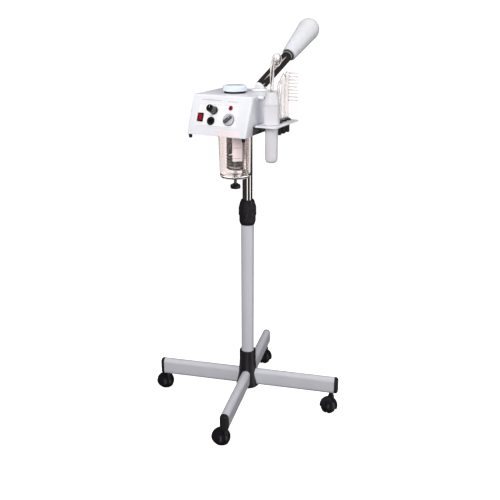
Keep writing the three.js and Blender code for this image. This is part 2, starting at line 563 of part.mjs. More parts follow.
function comb() {
  const tube = turned([
    [0, ELECTRODES.foot], [ELECTRODES.tube, ELECTRODES.foot], [ELECTRODES.tube, ELECTRODES.top - 4],
    [ELECTRODES.tube - 2, ELECTRODES.top - 1], [0, ELECTRODES.top],
  ], FEW_SIDES);
  const [teeth, low, high, reach] = [9, 946, 1016, 31];
  const rods = Array.from({ length: teeth }, (_, i) => {
    const z = low + ((high - low) * i) / (teeth - 1);
    return rod([2, 0, z], [reach, 0, z], 2.25, 6);
  });
  return join(tube, ...rods);
}
add(group(steamer, ELECTRODES.x, ELECTRODES.comb, 0), 'comb_electrode', comb(), GLASS);

// A ring of points of an ellipse around a centre, lying level.
function level(x, y, z, rx, ry, count = FEW_SIDES) {
  return Array.from({ length: count }, (_, i) => {
    const a = (2 * Math.PI * i) / count;
    return new THREE.Vector3(x + rx * Math.cos(a), y + ry * Math.sin(a), z);
  });
}
const tube = ELECTRODES.tube;
add(group(steamer, ELECTRODES.x, ELECTRODES.tongue, 0), 'tongue_electrode', loft([
  level(0, 0, ELECTRODES.foot, tube, tube), level(0, 0, 978, tube, tube), level(0, 0, 985, 4.4, 4.4),
  level(0, 0, 994, 8.2, 4), level(0, 0, 1002, 9, 3.6), level(0, 0, 1010, 6.5, 3), level(0, 0, 1018, 1.2, 1),
]), GLASS);
add(group(steamer, ELECTRODES.x, ELECTRODES.bent, 0), 'bent_electrode', sweep([
  [0, 0, ELECTRODES.foot], [0, 0, 920], [0, 0, 962], [-1.5, -1, 976], [0, -0.5, 990], [5, 1, 1003],
], 5.2, 8, 10), GLASS);

// ---------------------------------------------------------------- steam arm and nozzle
const deck = CASE.top + GAP + 0.3;
const aim = (elevation) => {
  const [az, el] = [ARM.azimuth * DEG, elevation * DEG];
  return new THREE.Vector3(Math.cos(el) * Math.cos(az), Math.cos(el) * Math.sin(az), Math.sin(el));
};
const armWay = aim(ARM.elevation);
const along = new THREE.Quaternion().setFromUnitVectors(new THREE.Vector3(0, 0, 1), armWay);
const aboveDeck = block([-200, -200, deck - ARM.z], [200, 200, 400]);
const arm = group(steamer, ARM.x, ARM.y, ARM.z);

function turret() {
  const base = turned([[0, deck - ARM.z], [25, deck - ARM.z], [25, -6], [21, -2], [15, 2], [0, 4]]);
  const seat = disc(ARM.radius + GAP, ARM.start - GAP, 60).applyQuaternion(along);
  const heel = disc(ARM.radius, -4, ARM.start - GAP);
  const spigot = disc(ARM.radius - WALL - GAP, 0, 10);
  const plug = common(join(heel, spigot).applyQuaternion(along), aboveDeck);
  const steamWay = disc(7, -1, 60, FEW_SIDES).applyQuaternion(along);
  const channel = disc(6.5, deck - ARM.z - 1, 2, FEW_SIDES);
  return cut(join(cut(base, seat), plug), steamWay, channel);
}
const armTube = ring(ARM.radius, ARM.radius - WALL, ARM.start, ARM.length).applyQuaternion(along);
add(arm, 'arm_turret', turret(), WHITE_PLASTIC);
add(arm, 'steam_arm', common(armTube, aboveDeck.clone().translate(0, 0, 0.4)), CHROME);

const pivot = armWay.clone().multiplyScalar(NOZZLE.ballAt);
const knuckle = group(arm, pivot.x, pivot.y, pivot.z);
knuckle.quaternion.copy(along);
add(knuckle, 'nozzle_knuckle', turned([
  [8, -34], [12.4, -34], [12.4, -13.4], ...arc(NOZZLE.ball, NOZZLE.ball, 0, -46, 63, 5),
]), GREY_PLASTIC);

const nozzle = group(arm, pivot.x, pivot.y, pivot.z);
nozzle.quaternion.setFromUnitVectors(new THREE.Vector3(0, 0, 1), aim(NOZZLE.elevation));
const dome = NOZZLE.length - NOZZLE.cone;
const outletAngle = 74;
add(nozzle, 'nozzle_shell', turned([
  [NOZZLE.rear, NOZZLE.rim], ...arc(NOZZLE.front, dome, NOZZLE.cone, 0, outletAngle, 5),
  ...arc(NOZZLE.front - NOZZLE.wall, dome - NOZZLE.wall, NOZZLE.cone, outletAngle, 0, 5),
  [NOZZLE.ball + 0.8, 0], [NOZZLE.ball + 0.1, -5], [NOZZLE.lip, NOZZLE.rim],
], 18), WHITE_PLASTIC);

export default steamer;
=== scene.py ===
"""Looks of the facial steamer: fine meshes, materials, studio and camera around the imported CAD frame.

Shapes are written in millimetres in the row frame: +Z up, the control panel faces -Y, the shelf is at +X.
"""
import math

import bmesh
import bpy
from mathutils import Matrix, Quaternion, Vector


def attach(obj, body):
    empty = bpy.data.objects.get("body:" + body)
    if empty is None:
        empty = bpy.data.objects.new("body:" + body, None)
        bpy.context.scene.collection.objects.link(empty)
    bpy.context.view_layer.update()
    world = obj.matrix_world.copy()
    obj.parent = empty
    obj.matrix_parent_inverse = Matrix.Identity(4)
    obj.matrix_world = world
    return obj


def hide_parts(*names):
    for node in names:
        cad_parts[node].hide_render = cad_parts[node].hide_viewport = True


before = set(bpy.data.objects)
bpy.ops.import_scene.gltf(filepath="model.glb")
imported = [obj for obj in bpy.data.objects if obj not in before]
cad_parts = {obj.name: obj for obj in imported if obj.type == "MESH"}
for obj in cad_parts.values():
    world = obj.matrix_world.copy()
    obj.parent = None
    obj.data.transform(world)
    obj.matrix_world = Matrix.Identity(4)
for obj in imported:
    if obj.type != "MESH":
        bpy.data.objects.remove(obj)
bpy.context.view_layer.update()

MM = 0.001
UP = Vector((0, 0, 1))

# ------------------------------------------------------------------ driving dimensions, mm
LEG_NAMES = ("right", "back", "left", "front")
LEG_FIRST = 13.0
LEG = dict(width=26.0, height=53.4, bottom=59.0, inner=20.0, outer=273.0, wall=1.5, cap=11.0)
COLUMN_RADIUS = 19.0
MAST_RADIUS = 14.5
CASTER = dict(stem_at=264.0, trail=18.2, wheel=25.0, hood=27.5, cavity=26.2, web=2.8)
CASTER_HEADINGS = (-91.8, -82.6, 155.7, 166.0)
CASE = dict(bottom=868.5, top=967.5, foot=-184.0, brow=-143.0, back=22.0, half=86.0, shell=83.0, wall=1.5)
TILT = math.atan2(CASE["top"] - CASE["bottom"], CASE["brow"] - CASE["foot"])
JAR_X, JAR_Y = 3.5, -80.6
JAR = dict(top=878.0, bottom=740.0, top_radius=45.4, foot_radius=42.0, wall=2.8)
SHELF_TOP = 893.5
HAND = (118.0, -95.0)
SOCKETS = {"bent": (120.0, -56.0), "tongue": (120.0, -29.5), "comb": (120.0, -3.0)}
ARM = dict(base=(42.0, -10.0, 977.0), azimuth=78.4, elevation=30.0, radius=14.3, ball_at=163.0, end=149.0)
NOZZLE_ELEVATION = 34.0


# ------------------------------------------------------------------ meshes
def rotation_z(degrees, at=(0, 0, 0)):
    """A turn about the vertical, then a move."""
    return Matrix.Translation(Vector(at)) @ Matrix.Rotation(math.radians(degrees), 4, "Z")


def aimed(at, way):
    """A frame at a point with its Z along a direction."""
    return Matrix.Translation(Vector(at)) @ UP.rotation_difference(Vector(way)).to_matrix().to_4x4()


def new_object(name, verts, faces, place=Matrix.Identity(4), sharp=40.0):
    """A mesh object from points in millimetres, turned outward and shaded smooth up to an angle."""
    mesh = bpy.data.meshes.new(name)
    mesh.from_pydata([(place @ Vector(v)) * MM for v in verts], [], faces)
    piece = bpy.data.objects.new(name, mesh)
    bpy.context.scene.collection.objects.link(piece)
    tidy(piece, sharp)
    return piece


def tidy(piece, sharp=40.0, weld=0.002):
    """Welds doubles, turns the faces outward and shades smooth up to an angle."""
    bm = bmesh.new()
    bm.from_mesh(piece.data)
    bmesh.ops.remove_doubles(bm, verts=bm.verts, dist=weld * MM)
    bmesh.ops.recalc_face_normals(bm, faces=bm.faces)
    for face in bm.faces:
        face.smooth = True
    bm.to_mesh(piece.data)
    bm.free()
    piece.data.set_sharp_from_angle(angle=math.radians(sharp))


def applied(piece, sharp=40.0, weld=0.002):
    """The piece with its modifiers made real."""
    graph = bpy.context.evaluated_depsgraph_get()
    mesh = bpy.data.meshes.new_from_object(piece.evaluated_get(graph))
    piece.modifiers.clear()
    piece.data = mesh
    tidy(piece, sharp, weld)
    return piece


def boolean(piece, tool, how, sharp=40.0):
    """Joins or cuts a piece with a tool, which is used up."""
    step = piece.modifiers.new(how, "BOOLEAN")
    step.operation = how
    step.solver = "EXACT"
    step.object = tool
    bpy.context.view_layer.update()
    applied(piece, sharp)
    bpy.data.objects.remove(tool)
    return piece


def remeshed(piece, voxel=0.8, rounds=6, sharp=180.0):
    """Makes a cut and joined piece one moulded skin with soft edges."""
    step = piece.modifiers.new("remesh", "REMESH")
    step.mode = "VOXEL"
    step.voxel_size = voxel * MM
    soft = piece.modifiers.new("soft", "SMOOTH")
    soft.factor = 0.5
    soft.iterations = rounds
    return applied(piece, sharp, weld=0.0001)


def merged(name, pieces, sharp=40.0):
    """Several separate solids as one object."""
    verts, faces = [], []
    for piece in pieces:
        start = len(verts)
        verts += [v.co / MM for v in piece.data.vertices]
        faces += [[start + i for i in face.vertices] for face in piece.data.polygons]
        bpy.data.objects.remove(piece)
    return new_object(name, verts, faces, sharp=sharp)


def fillet(points, radius, closed=False, steps=5):
    """Rounds the corners of a 2-D outline. radius is one number or one for each point."""
    count = len(points)
    radii = radius if isinstance(radius, (list, tuple)) else [radius] * count
    made = []
    for i, point in enumerate(points):
        here = Vector(point)
        ends = i in (0, count - 1) and not closed
        if ends or radii[i] <= 0:
            made.append(tuple(here))
            continue
        to_last, to_next = Vector(points[i - 1]) - here, Vector(points[(i + 1) % count]) - here
        corner = to_last.angle(to_next)
        if corner > math.radians(176):
            made.append(tuple(here))
            continue
        reach = radii[i] / math.tan(corner / 2)
        reach = min(reach, to_last.length * 0.49, to_next.length * 0.49)
        a, b = here + to_last.normalized() * reach, here + to_next.normalized() * reach
        for k in range(steps + 1):
            t = k / steps
            made.append(tuple(a * (1 - t) ** 2 + here * (2 * t * (1 - t)) + b * t * t))
    return made


def arc(rx, ry, cx, cy, start, end, steps):
    """Points of an ellipse's arc between two angles in degrees."""
    angles = [math.radians(start + (end - start) * i / steps) for i in range(steps + 1)]
    return [(cx + rx * math.cos(a), cy + ry * math.sin(a)) for a in angles]


def skin(rings, closed=False):
    """Faces between rings of points. A ring of one point is a pole; open ends are closed by one face."""
    verts, loops, faces = [], [], []
    for ring in rings:
        loops.append(list(range(len(verts), len(verts) + len(ring))))
        verts += ring
    pairs = list(zip(loops, loops[1:])) + ([(loops[-1], loops[0])] if closed else [])
    for a, b in pairs:
        wide = max(len(a), len(b))
        for i in range(wide):
            j = (i + 1) % wide
            corners = [a[i % len(a)], a[j % len(a)], b[j % len(b)], b[i % len(b)]]
            faces.append(list(dict.fromkeys(corners)))
    if not closed:
        faces += [loop for loop in (loops[0], loops[-1]) if len(loop) > 2]
    return verts, [f for f in faces if len(f) > 2]


def lathe(name, profile, place=Matrix.Identity(4), sides=96, closed=False, wave=None, sharp=40.0):
    """A profile of (radius, z) turned about Z. wave(angle, radius, z) may change the radius."""
    rings = []
    for radius, z in profile:
        if radius < 1e-6:
            rings.append([(0, 0, z)])
            continue
        ring = []
        for i in range(sides):
            a = 2 * math.pi * i / sides
            r = wave(a, radius, z) if wave else radius
            ring.append((r * math.cos(a), r * math.sin(a), z))
        rings.append(ring)
    return new_object(name, *skin(rings, closed), place, sharp)


def tube_ring(name, outer, inner, z0, z1, place=Matrix.Identity(4), sides=96, edge=0.4):
    profile = fillet([(inner, z0), (outer, z0), (outer, z1), (inner, z1)], edge, closed=True, steps=3)
    return lathe(name, profile, place, sides, closed=True)


def oval(width, height, steps=24):
    """A flat-oval outline, its long way second."""
    r, rise = width / 2, (height - width) / 2
    return arc(r, r, 0, rise, 0, 180, steps) + arc(r, r, 0, -rise, 180, 360, steps)


def rounded_rectangle(x0, y0, x1, y1, r, steps=8):
    return (arc(r, r, x1 - r, y1 - r, 0, 90, steps) + arc(r, r, x0 + r, y1 - r, 90, 180, steps)
            + arc(r, r, x0 + r, y0 + r, 180, 270, steps) + arc(r, r, x1 - r, y0 + r, 270, 360, steps))


def circle(x, y, r, steps=64):
    return arc(r, r, x, y, 0, 360 * (steps - 1) / steps, steps - 1)


def plate(name, outline, z0, z1, holes=(), edge=0.5, place=Matrix.Identity(4)):
    """A flat plate with rounded edges, made from a filled outline and its holes."""
    curve = bpy.data.curves.new(name, "CURVE")
    curve.dimensions = "2D"
    curve.fill_mode = "BOTH"
    curve.extrude = max((z1 - z0) / 2 - edge, 0.0) * MM
    curve.bevel_depth = edge * MM
    curve.bevel_resolution = 2
    curve.offset = -edge * MM
    for points in (outline, *holes):
        spline = curve.splines.new("POLY")
        spline.points.add(len(points) - 1)
        for point, (x, y) in zip(spline.points, points):
            point.co = (x * MM, y * MM, 0, 1)
        spline.use_cyclic_u = True
    shape = bpy.data.objects.new(name + "_outline", curve)
    bpy.context.scene.collection.objects.link(shape)
    bpy.context.view_layer.update()
    graph = bpy.context.evaluated_depsgraph_get()
    mesh = bpy.data.meshes.new_from_object(shape.evaluated_get(graph))
    bpy.data.objects.remove(shape)
    verts = [(v.co / MM) + Vector((0, 0, (z0 + z1) / 2)) for v in mesh.vertices]
    faces = [list(face.vertices) for face in mesh.polygons]
    return new_object(name, verts, faces, place)


def block(name, low, high, edge=0.6, segments=3, place=Matrix.Identity(4)):
    """A block with rounded edges."""
    corners = [(x, y, z) for x in (low[0], high[0]) for y in (low[1], high[1]) for z in (low[2], high[2])]
    faces = [(0, 1, 3, 2), (4, 6, 7, 5), (0, 4, 5, 1), (2, 3, 7, 6), (0, 2, 6, 4), (1, 5, 7, 3)]
    piece = new_object(name, corners, faces, place)
    if edge > 0:
        bevelled(piece, edge, segments)
    return piece


def bevelled(piece, width, segments=3, angle=30.0):
    step = piece.modifiers.new("bevel", "BEVEL")
    step.width = width * MM
    step.segments = segments
    step.limit_method = "ANGLE"
    step.angle_limit = math.radians(angle)
    return applied(piece)


def spline_points(points, per=10):
    """A smooth curve through points, Catmull-Rom."""
    knots = [Vector(p) for p in points]
    knots = [knots[0] * 2 - knots[1], *knots, knots[-1] * 2 - knots[-2]]
    made = []
    for a, b, c, d in zip(knots, knots[1:], knots[2:], knots[3:]):
        for k in range(per):
            t = k / per
            made.append(0.5 * ((2 * b) + (c - a) * t + (2 * a - 5 * b + 4 * c - d) * t * t
                               + (3 * b - a - 3 * c + d) * t ** 3))
    return made + [knots[-2]]


def sweep(name, path, radii, place=Matrix.Identity(4), sides=32, closed=False, squash=(1, 1), sharp=60.0):
    """A round rod along a path. radii is one number or one for each point; a zero radius is a pole."""
    count = len(path)
    radii = radii if isinstance(radii, (list, tuple)) else [radii] * count
    rings = []
    tangent = (path[1] - path[0]).normalized()
    along_x = abs(tangent.x) > 0.9
    side = (tangent.orthogonal() if along_x else tangent.cross(Vector((1, 0, 0)))).normalized()
    for i, (point, radius) in enumerate(zip(path, radii)):
        onward = (path[min(i + 1, count - 1)] - path[max(i - 1, 0)]).normalized()
        side = (tangent.rotation_difference(onward) @ side).normalized()
        tangent = onward
        other = tangent.cross(side)
        if radius < 1e-6:
            rings.append([tuple(point)])
            continue
        angles = [2 * math.pi * k / sides for k in range(sides)]
        rings.append([tuple(point + side * (radius * squash[0] * math.cos(a))
                            + other * (radius * squash[1] * math.sin(a)))
                      for a in angles])
    return new_object(name, *skin(rings, closed), place, sharp)


def finish(piece, material, body, slot, *nodes):
    """Gives a piece its material, the body it rides on, and the CAD nodes that it stands for. slot is not
    used.
    """
    piece.data.materials.clear()
    piece.data.materials.append(material)
    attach(piece, body)
    if nodes:
        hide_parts(*nodes)
    return piece


# ------------------------------------------------------------------ materials
def shader(name, color, roughness, metallic=0.0, **sockets):
    """A material and its Principled shader, with plain values on the shader's own sockets."""
    made = bpy.data.materials.new(name)
    made.use_nodes = True
    bsdf = made.node_tree.nodes["Principled BSDF"]
    bsdf.inputs["Base Color"].default_value = (*color, 1)
    bsdf.inputs["Roughness"].default_value = roughness
    bsdf.inputs["Metallic"].default_value = metallic
    for key, value in sockets.items():
        bsdf.inputs[key.replace("_", " ")].default_value = value
    return made, bsdf


def node(tree, kind, **settings):
    made = tree.nodes.new(kind)
    for key, value in settings.items():
        if key in made.inputs:
            made.inputs[key].default_value = value
        else:
            setattr(made, key, value)
    return made


def noise(tree, scale, detail=3.0, stretch=(1, 1, 1)):
    """Noise over the object's own coordinates, in features per metre."""
    where = node(tree, "ShaderNodeTexCoord")
    mapping = node(tree, "ShaderNodeMapping")
    mapping.inputs["Scale"].default_value = stretch
    made = node(tree, "ShaderNodeTexNoise", Scale=scale, Detail=detail)
    tree.links.new(where.outputs["Object"], mapping.inputs["Vector"])
    tree.links.new(mapping.outputs["Vector"], made.inputs["Vector"])
    return made.outputs["Fac"]


def spread(tree, value, low, high, from_low=0.35, from_high=0.65):
    """A texture's value as a number between two limits."""
    made = node(tree, "ShaderNodeMapRange")
    for key, number in (("From Min", from_low), ("From Max", from_high), ("To Min", low), ("To Max", high)):
        made.inputs[key].default_value = number
    tree.links.new(value, made.inputs["Value"])
    return made.outputs["Result"]


def tinted(tree, bsdf, factor, first, second):
    """The base colour, mixed between two colours by a factor."""
    mix = node(tree, "ShaderNodeMix", data_type="RGBA")
    for socket in mix.inputs:
        if socket.name in ("A", "B") and socket.type == "RGBA":
            socket.default_value = (*(first if socket.name == "A" else second), 1)
    tree.links.new(factor, mix.inputs["Factor"])
    result = next(s for s in mix.outputs if s.type == "RGBA")
    tree.links.new(result, bsdf.inputs["Base Color"])


def bumped(tree, bsdf, height, strength, distance):
    made = node(tree, "ShaderNodeBump", Strength=strength, Distance=distance * MM)
    tree.links.new(height, made.inputs["Height"])
    tree.links.new(made.outputs["Normal"], bsdf.inputs["Normal"])


def shade(color, factor):
    return tuple(min(1.0, c * factor) for c in color)


def textured(name, color, roughness, grain=900.0, bump=0.06, depth=0.05, vary=0.04, patches=14.0, **sockets):
    """A painted or moulded surface: fine grain, slow colour drift and uneven gloss."""
    made, bsdf = shader(name, color, roughness, **sockets)
    tree = made.node_tree
    drift = spread(tree, noise(tree, patches, 4.0), 0.0, 1.0)
    tinted(tree, bsdf, drift, shade(color, 1 - vary), shade(color, 1 + vary * 0.5))
    gloss = spread(tree, noise(tree, patches * 6, 5.0), roughness * 0.85, min(1.0, roughness * 1.18))
    tree.links.new(gloss, bsdf.inputs["Roughness"])
    bumped(tree, bsdf, noise(tree, grain, 2.0), bump, depth)
    return made


def metal(name, color, roughness, brush=None, bump=0.02, vary=0.06):
    """Polished or brushed metal, with faint smears; brush stretches the grain."""
    made, bsdf = shader(name, color, roughness, metallic=1.0)
    tree = made.node_tree
    drift = spread(tree, noise(tree, 22.0, 5.0), 0.0, 1.0)
    tinted(tree, bsdf, drift, shade(color, 1 - vary), color)
    smear = spread(tree, noise(tree, 60.0, 6.0), roughness * 0.7, roughness * 1.5)
    tree.links.new(smear, bsdf.inputs["Roughness"])
    stretch = brush or (1, 1, 1)
    bumped(tree, bsdf, noise(tree, 260.0, 3.0, stretch), bump, 0.03)
    return made


def clear(name, color, roughness=0.01, vary=0.04, bump=0.004, ior=1.45):
    """Blown glass: clear, faintly tinted, with slight waves in its wall."""
    made, bsdf = shader(name, color, roughness, Transmission_Weight=1.0, IOR=ior)
    tree = made.node_tree
    tinted(tree, bsdf, spread(tree, noise(tree, 18.0, 3.0), 0.0, 1.0), shade(color, 1 - vary), color)
    tree.links.new(spread(tree, noise(tree, 80.0, 4.0), roughness * 0.5, roughness * 2.0),
                   bsdf.inputs["Roughness"])
    bumped(tree, bsdf, noise(tree, 45.0, 2.0), bump, 0.2)
    return made


STAND_PAINT = textured("stand_paint", (0.60, 0.60, 0.65), 0.34, grain=1400, bump=0.10, depth=0.04, vary=0.03,
                       Coat_Weight=0.25, Coat_Roughness=0.25)
CASE_PAINT = textured("case_paint", (0.80, 0.81, 0.855), 0.33, grain=1300, bump=0.08, depth=0.04, vary=0.02,
                      Coat_Weight=0.2, Coat_Roughness=0.2)
PANEL_FILM = textured("panel_film", (0.90, 0.90, 0.92), 0.22, grain=2400, bump=0.05, depth=0.02, vary=0.01)
WHITE_PLASTIC = textured("white_plastic", (0.84, 0.85, 0.88), 0.28, grain=700, bump=0.05, depth=0.04,
                         vary=0.02)
CAP_PLASTIC = textured("cap_plastic", (0.78, 0.84, 0.93), 0.25, grain=700, bump=0.05, depth=0.04, vary=0.02)
HAND_PLASTIC = textured("handpiece_plastic", (0.73, 0.715, 0.75), 0.24, grain=600, bump=0.04, depth=0.04,
                        vary=0.02)
NOZZLE_PLASTIC = textured("nozzle_plastic", (0.67, 0.68, 0.715), 0.30, grain=500, bump=0.06, depth=0.05,
                          vary=0.03,
                          Subsurface_Weight=0.08, Subsurface_Scale=0.004)
BLACK_PLASTIC = textured("black_plastic", (0.016, 0.014, 0.016), 0.42, grain=1600, bump=0.22, depth=0.05,
                         vary=0.15)
GLOSS_BLACK = textured("gloss_black", (0.012, 0.011, 0.013), 0.24, grain=800, bump=0.05, depth=0.03,
                       vary=0.15)
CASTER_PLASTIC = textured("caster_plastic", (0.009, 0.008, 0.011), 0.30, grain=900, bump=0.10, depth=0.05,
                          vary=0.2)
WHEEL_RUBBER = textured("wheel_rubber", (0.012, 0.012, 0.013), 0.62, grain=500, bump=0.25, depth=0.08,
                        vary=0.25)
SEAL_RUBBER = textured("seal_rubber", (0.012, 0.012, 0.014), 0.55, grain=900, bump=0.2, depth=0.05, vary=0.2)
# Dark grey plastic for the selector bar, washer and generator; on the dark sheet under the shelf it is
# painted shade.
GREY_PLASTIC_AND_SHADE = textured("grey_plastic", (0.085, 0.088, 0.105), 0.5, grain=1200, bump=0.15, depth=0.05,
                        vary=0.1)
KNUCKLE_PLASTIC = textured("knuckle_plastic", (0.070, 0.066, 0.052), 0.42, grain=900, bump=0.15, depth=0.05,
                           vary=0.12)
RED_PLASTIC = textured("red_plastic", (0.42, 0.006, 0.022), 0.2, grain=600, bump=0.04, depth=0.03, vary=0.12,
                       Coat_Weight=0.4, Coat_Roughness=0.08)
SILVER_PAINT = textured("silver_paint", (0.70, 0.70, 0.72), 0.3, grain=1800, bump=0.08, depth=0.02, vary=0.06,
                        Metallic=0.25, Coat_Weight=0.3, Coat_Roughness=0.1)
CHROME = metal("chrome", (0.80, 0.78, 0.76), 0.05, brush=(1, 1, 0.15))
STEEL = metal("steel", (0.50, 0.49, 0.48), 0.26, brush=(1, 1, 0.05), bump=0.08)
SILVER = metal("silver_trim", (0.82, 0.82, 0.84), 0.16)
STAINED_STEEL = metal("stained_steel", (0.10, 0.083, 0.073), 0.32, brush=(1, 1, 0.08), bump=0.004, vary=0.15)
JAR_GLASS = clear("jar_glass", (0.89, 0.83, 0.82))
ELECTRODE_GLASS = clear("electrode_glass", (0.90, 0.87, 0.865), 0.03)
JEWEL = clear("lamp_jewel", (0.85, 0.01, 0.05), 0.03, ior=1.5)
LABEL_FILM = textured("label_film", (0.98, 0.82, 0.83), 0.3, grain=1500, bump=0.04, depth=0.02, vary=0.03)
STICKER_FILM = textured("sticker_film", (0.88, 0.76, 0.78), 0.3, grain=1500, bump=0.04, depth=0.02, vary=0.03)
PRINT_GREY = textured("print_grey", (0.30, 0.30, 0.33), 0.4, grain=1500, bump=0.03, depth=0.01, vary=0.1)
PRINT_RED = textured("print_red", (0.62, 0.20, 0.26), 0.4, grain=1500, bump=0.03, depth=0.01, vary=0.1)


# ------------------------------------------------------------------ stand
def leg_bar(profile_at):
    """A bar along +X at the legs' height, from (x, width, height) sections."""
    middle = LEG["bottom"] + LEG["height"] / 2
    return [[(x, y, z + middle) for y, z in oval(w, h)] for x, w, h in profile_at]


def leg(i, name):
    wall, w, h = 2 * LEG["wall"], LEG["width"], LEG["height"]
    a, b, e = LEG["inner"], LEG["outer"], 0.5
    sections = [(a + e, w, h), (b - e, w, h), (b, w - 2 * e, h - 2 * e), (b, w - wall, h - wall),
                (a, w - wall, h - wall),
                (a, w - 2 * e, h - 2 * e)]
    turn = rotation_z(LEG_FIRST + 90 * i)
    tube = new_object(f"leg_tube_{name}", *skin(leg_bar(sections), closed=True), turn)
    finish(tube, STAND_PAINT, "stand", "stand_paint", f"leg_{name}")

    start, inset = LEG["outer"] + 0.3, 7.0
    w2, h2 = w - 4, h - 4
    sections = [(b - 30, w2, h2), (start, w2, h2), (start, w - 0.8, h - 0.8), (start + 0.5, w, h),
                (start + 3.4, w, h)]
    for k in range(1, 8):
        t = math.radians(90 * k / 7)
        shrink = inset * (1 - math.cos(t)) * 2
        sections.append((start + 3.4 + (LEG["cap"] - 3.4) * math.sin(t), w - shrink, h - shrink))
    cap = new_object(f"leg_end_{name}", *skin(leg_bar(sections)), turn, sharp=50)
    finish(cap, BLACK_PLASTIC, "stand", "black_plastic", f"leg_cap_{name}")


def hub():
    body = lathe("hub_moulding", fillet([
        (0, 56), (34.5, 56), (36, 60), (33.5, 74), (29.5, 92), (26.5, 116), (25, 140), (25, 173.5),
        (24.6, 176), (0, 176)],
        [0, 0, 2, 20, 30, 30, 0, 2, 1.5, 0]), sides=160)
    middle = LEG["bottom"] + LEG["height"] / 2
    for i in range(4):
        rings = [[(x, y, z + middle) for y,
                  z in oval(LEG["width"] + 0.6, LEG["height"] + 0.6)] for x in (19.6, 70)]
        pocket = new_object("pocket", *skin(rings), rotation_z(LEG_FIRST + 90 * i))
        boolean(body, pocket, "DIFFERENCE")
    boolean(body, lathe("bore", [(0, 61), (19.25, 61), (19.25, 200), (0, 200)], sides=96), "DIFFERENCE")
    remeshed(body, 0.7, 5)
    finish(body, BLACK_PLASTIC, "stand", "black_plastic", "base_hub")


def column():
    tube = tube_ring("column_tube", COLUMN_RADIUS, 17.2, 61.3, 600.5, sides=128)
    finish(tube, STAND_PAINT, "stand", "stand_paint", "lower_column")

    def collar_ribs(angle, radius, z):
        grip = 593 < z < 606 and radius > 23
        return radius - (0.35 * (0.5 + 0.5 * math.cos(48 * angle)) if grip else 0)
    collar = lathe("lock_collar_moulding", fillet([
        (19.3, 582), (20.2, 582), (23.2, 589), (24, 593.5), (24, 594), (24, 605.5), (23.4, 606),
        (23.4, 607.5),
        (24, 608), (24, 609.7), (20, 609.7), (20, 630), (15, 630), (15, 601), (19.3, 601)],
        [0, 0.8, 3, 2, 0, 0, 0.2, 0.2, 0.2, 0.5, 0.3, 0.5, 0.5, 0.3, 0.3], closed=True, steps=3),
        sides=384, closed=True, wave=collar_ribs)
    finish(collar, BLACK_PLASTIC, "stand", "black_plastic", "lock_collar")

    def nut_ribs(angle, radius, z):
        if radius < 18.5:
            return radius
        if 621 < z < 634:
            lug = max(0.0, math.cos(12 * angle)) ** 0.5
            return radius + 0.9 * lug
        if 636 < z < 653:
            return radius + 0.7 * max(0.0, math.cos(12 * angle)) ** 0.5 * (653 - z) / 17
        return radius
    nut = lathe("lock_nut_moulding", fillet([
        (20.8, 610.1), (25, 610.1), (26, 611), (26, 618.2), (25.2, 619.6), (24.6, 620.8), (24.8, 621.5),
        (24.9, 628),
        (24.8, 633.5), (24.4, 636.5), (22.4, 644), (20.4, 651), (19.0, 655), (18, 656), (15, 656),
        (15, 632), (20.8, 632)],
        [0, 0.4, 0.5, 0.8, 0.5, 0.3, 0, 0, 0, 3, 6, 6, 1.5, 0.8, 0.5, 0.4, 0.4], closed=True, steps=3),
        sides=288, closed=True, wave=nut_ribs)
    finish(nut, BLACK_PLASTIC, "lock_nut", "black_plastic", "lock_nut")
    mast = tube_ring("mast", MAST_RADIUS, 13, 352, 900, sides=128)
    finish(mast, CHROME, "mast", "chrome", "mast_tube")


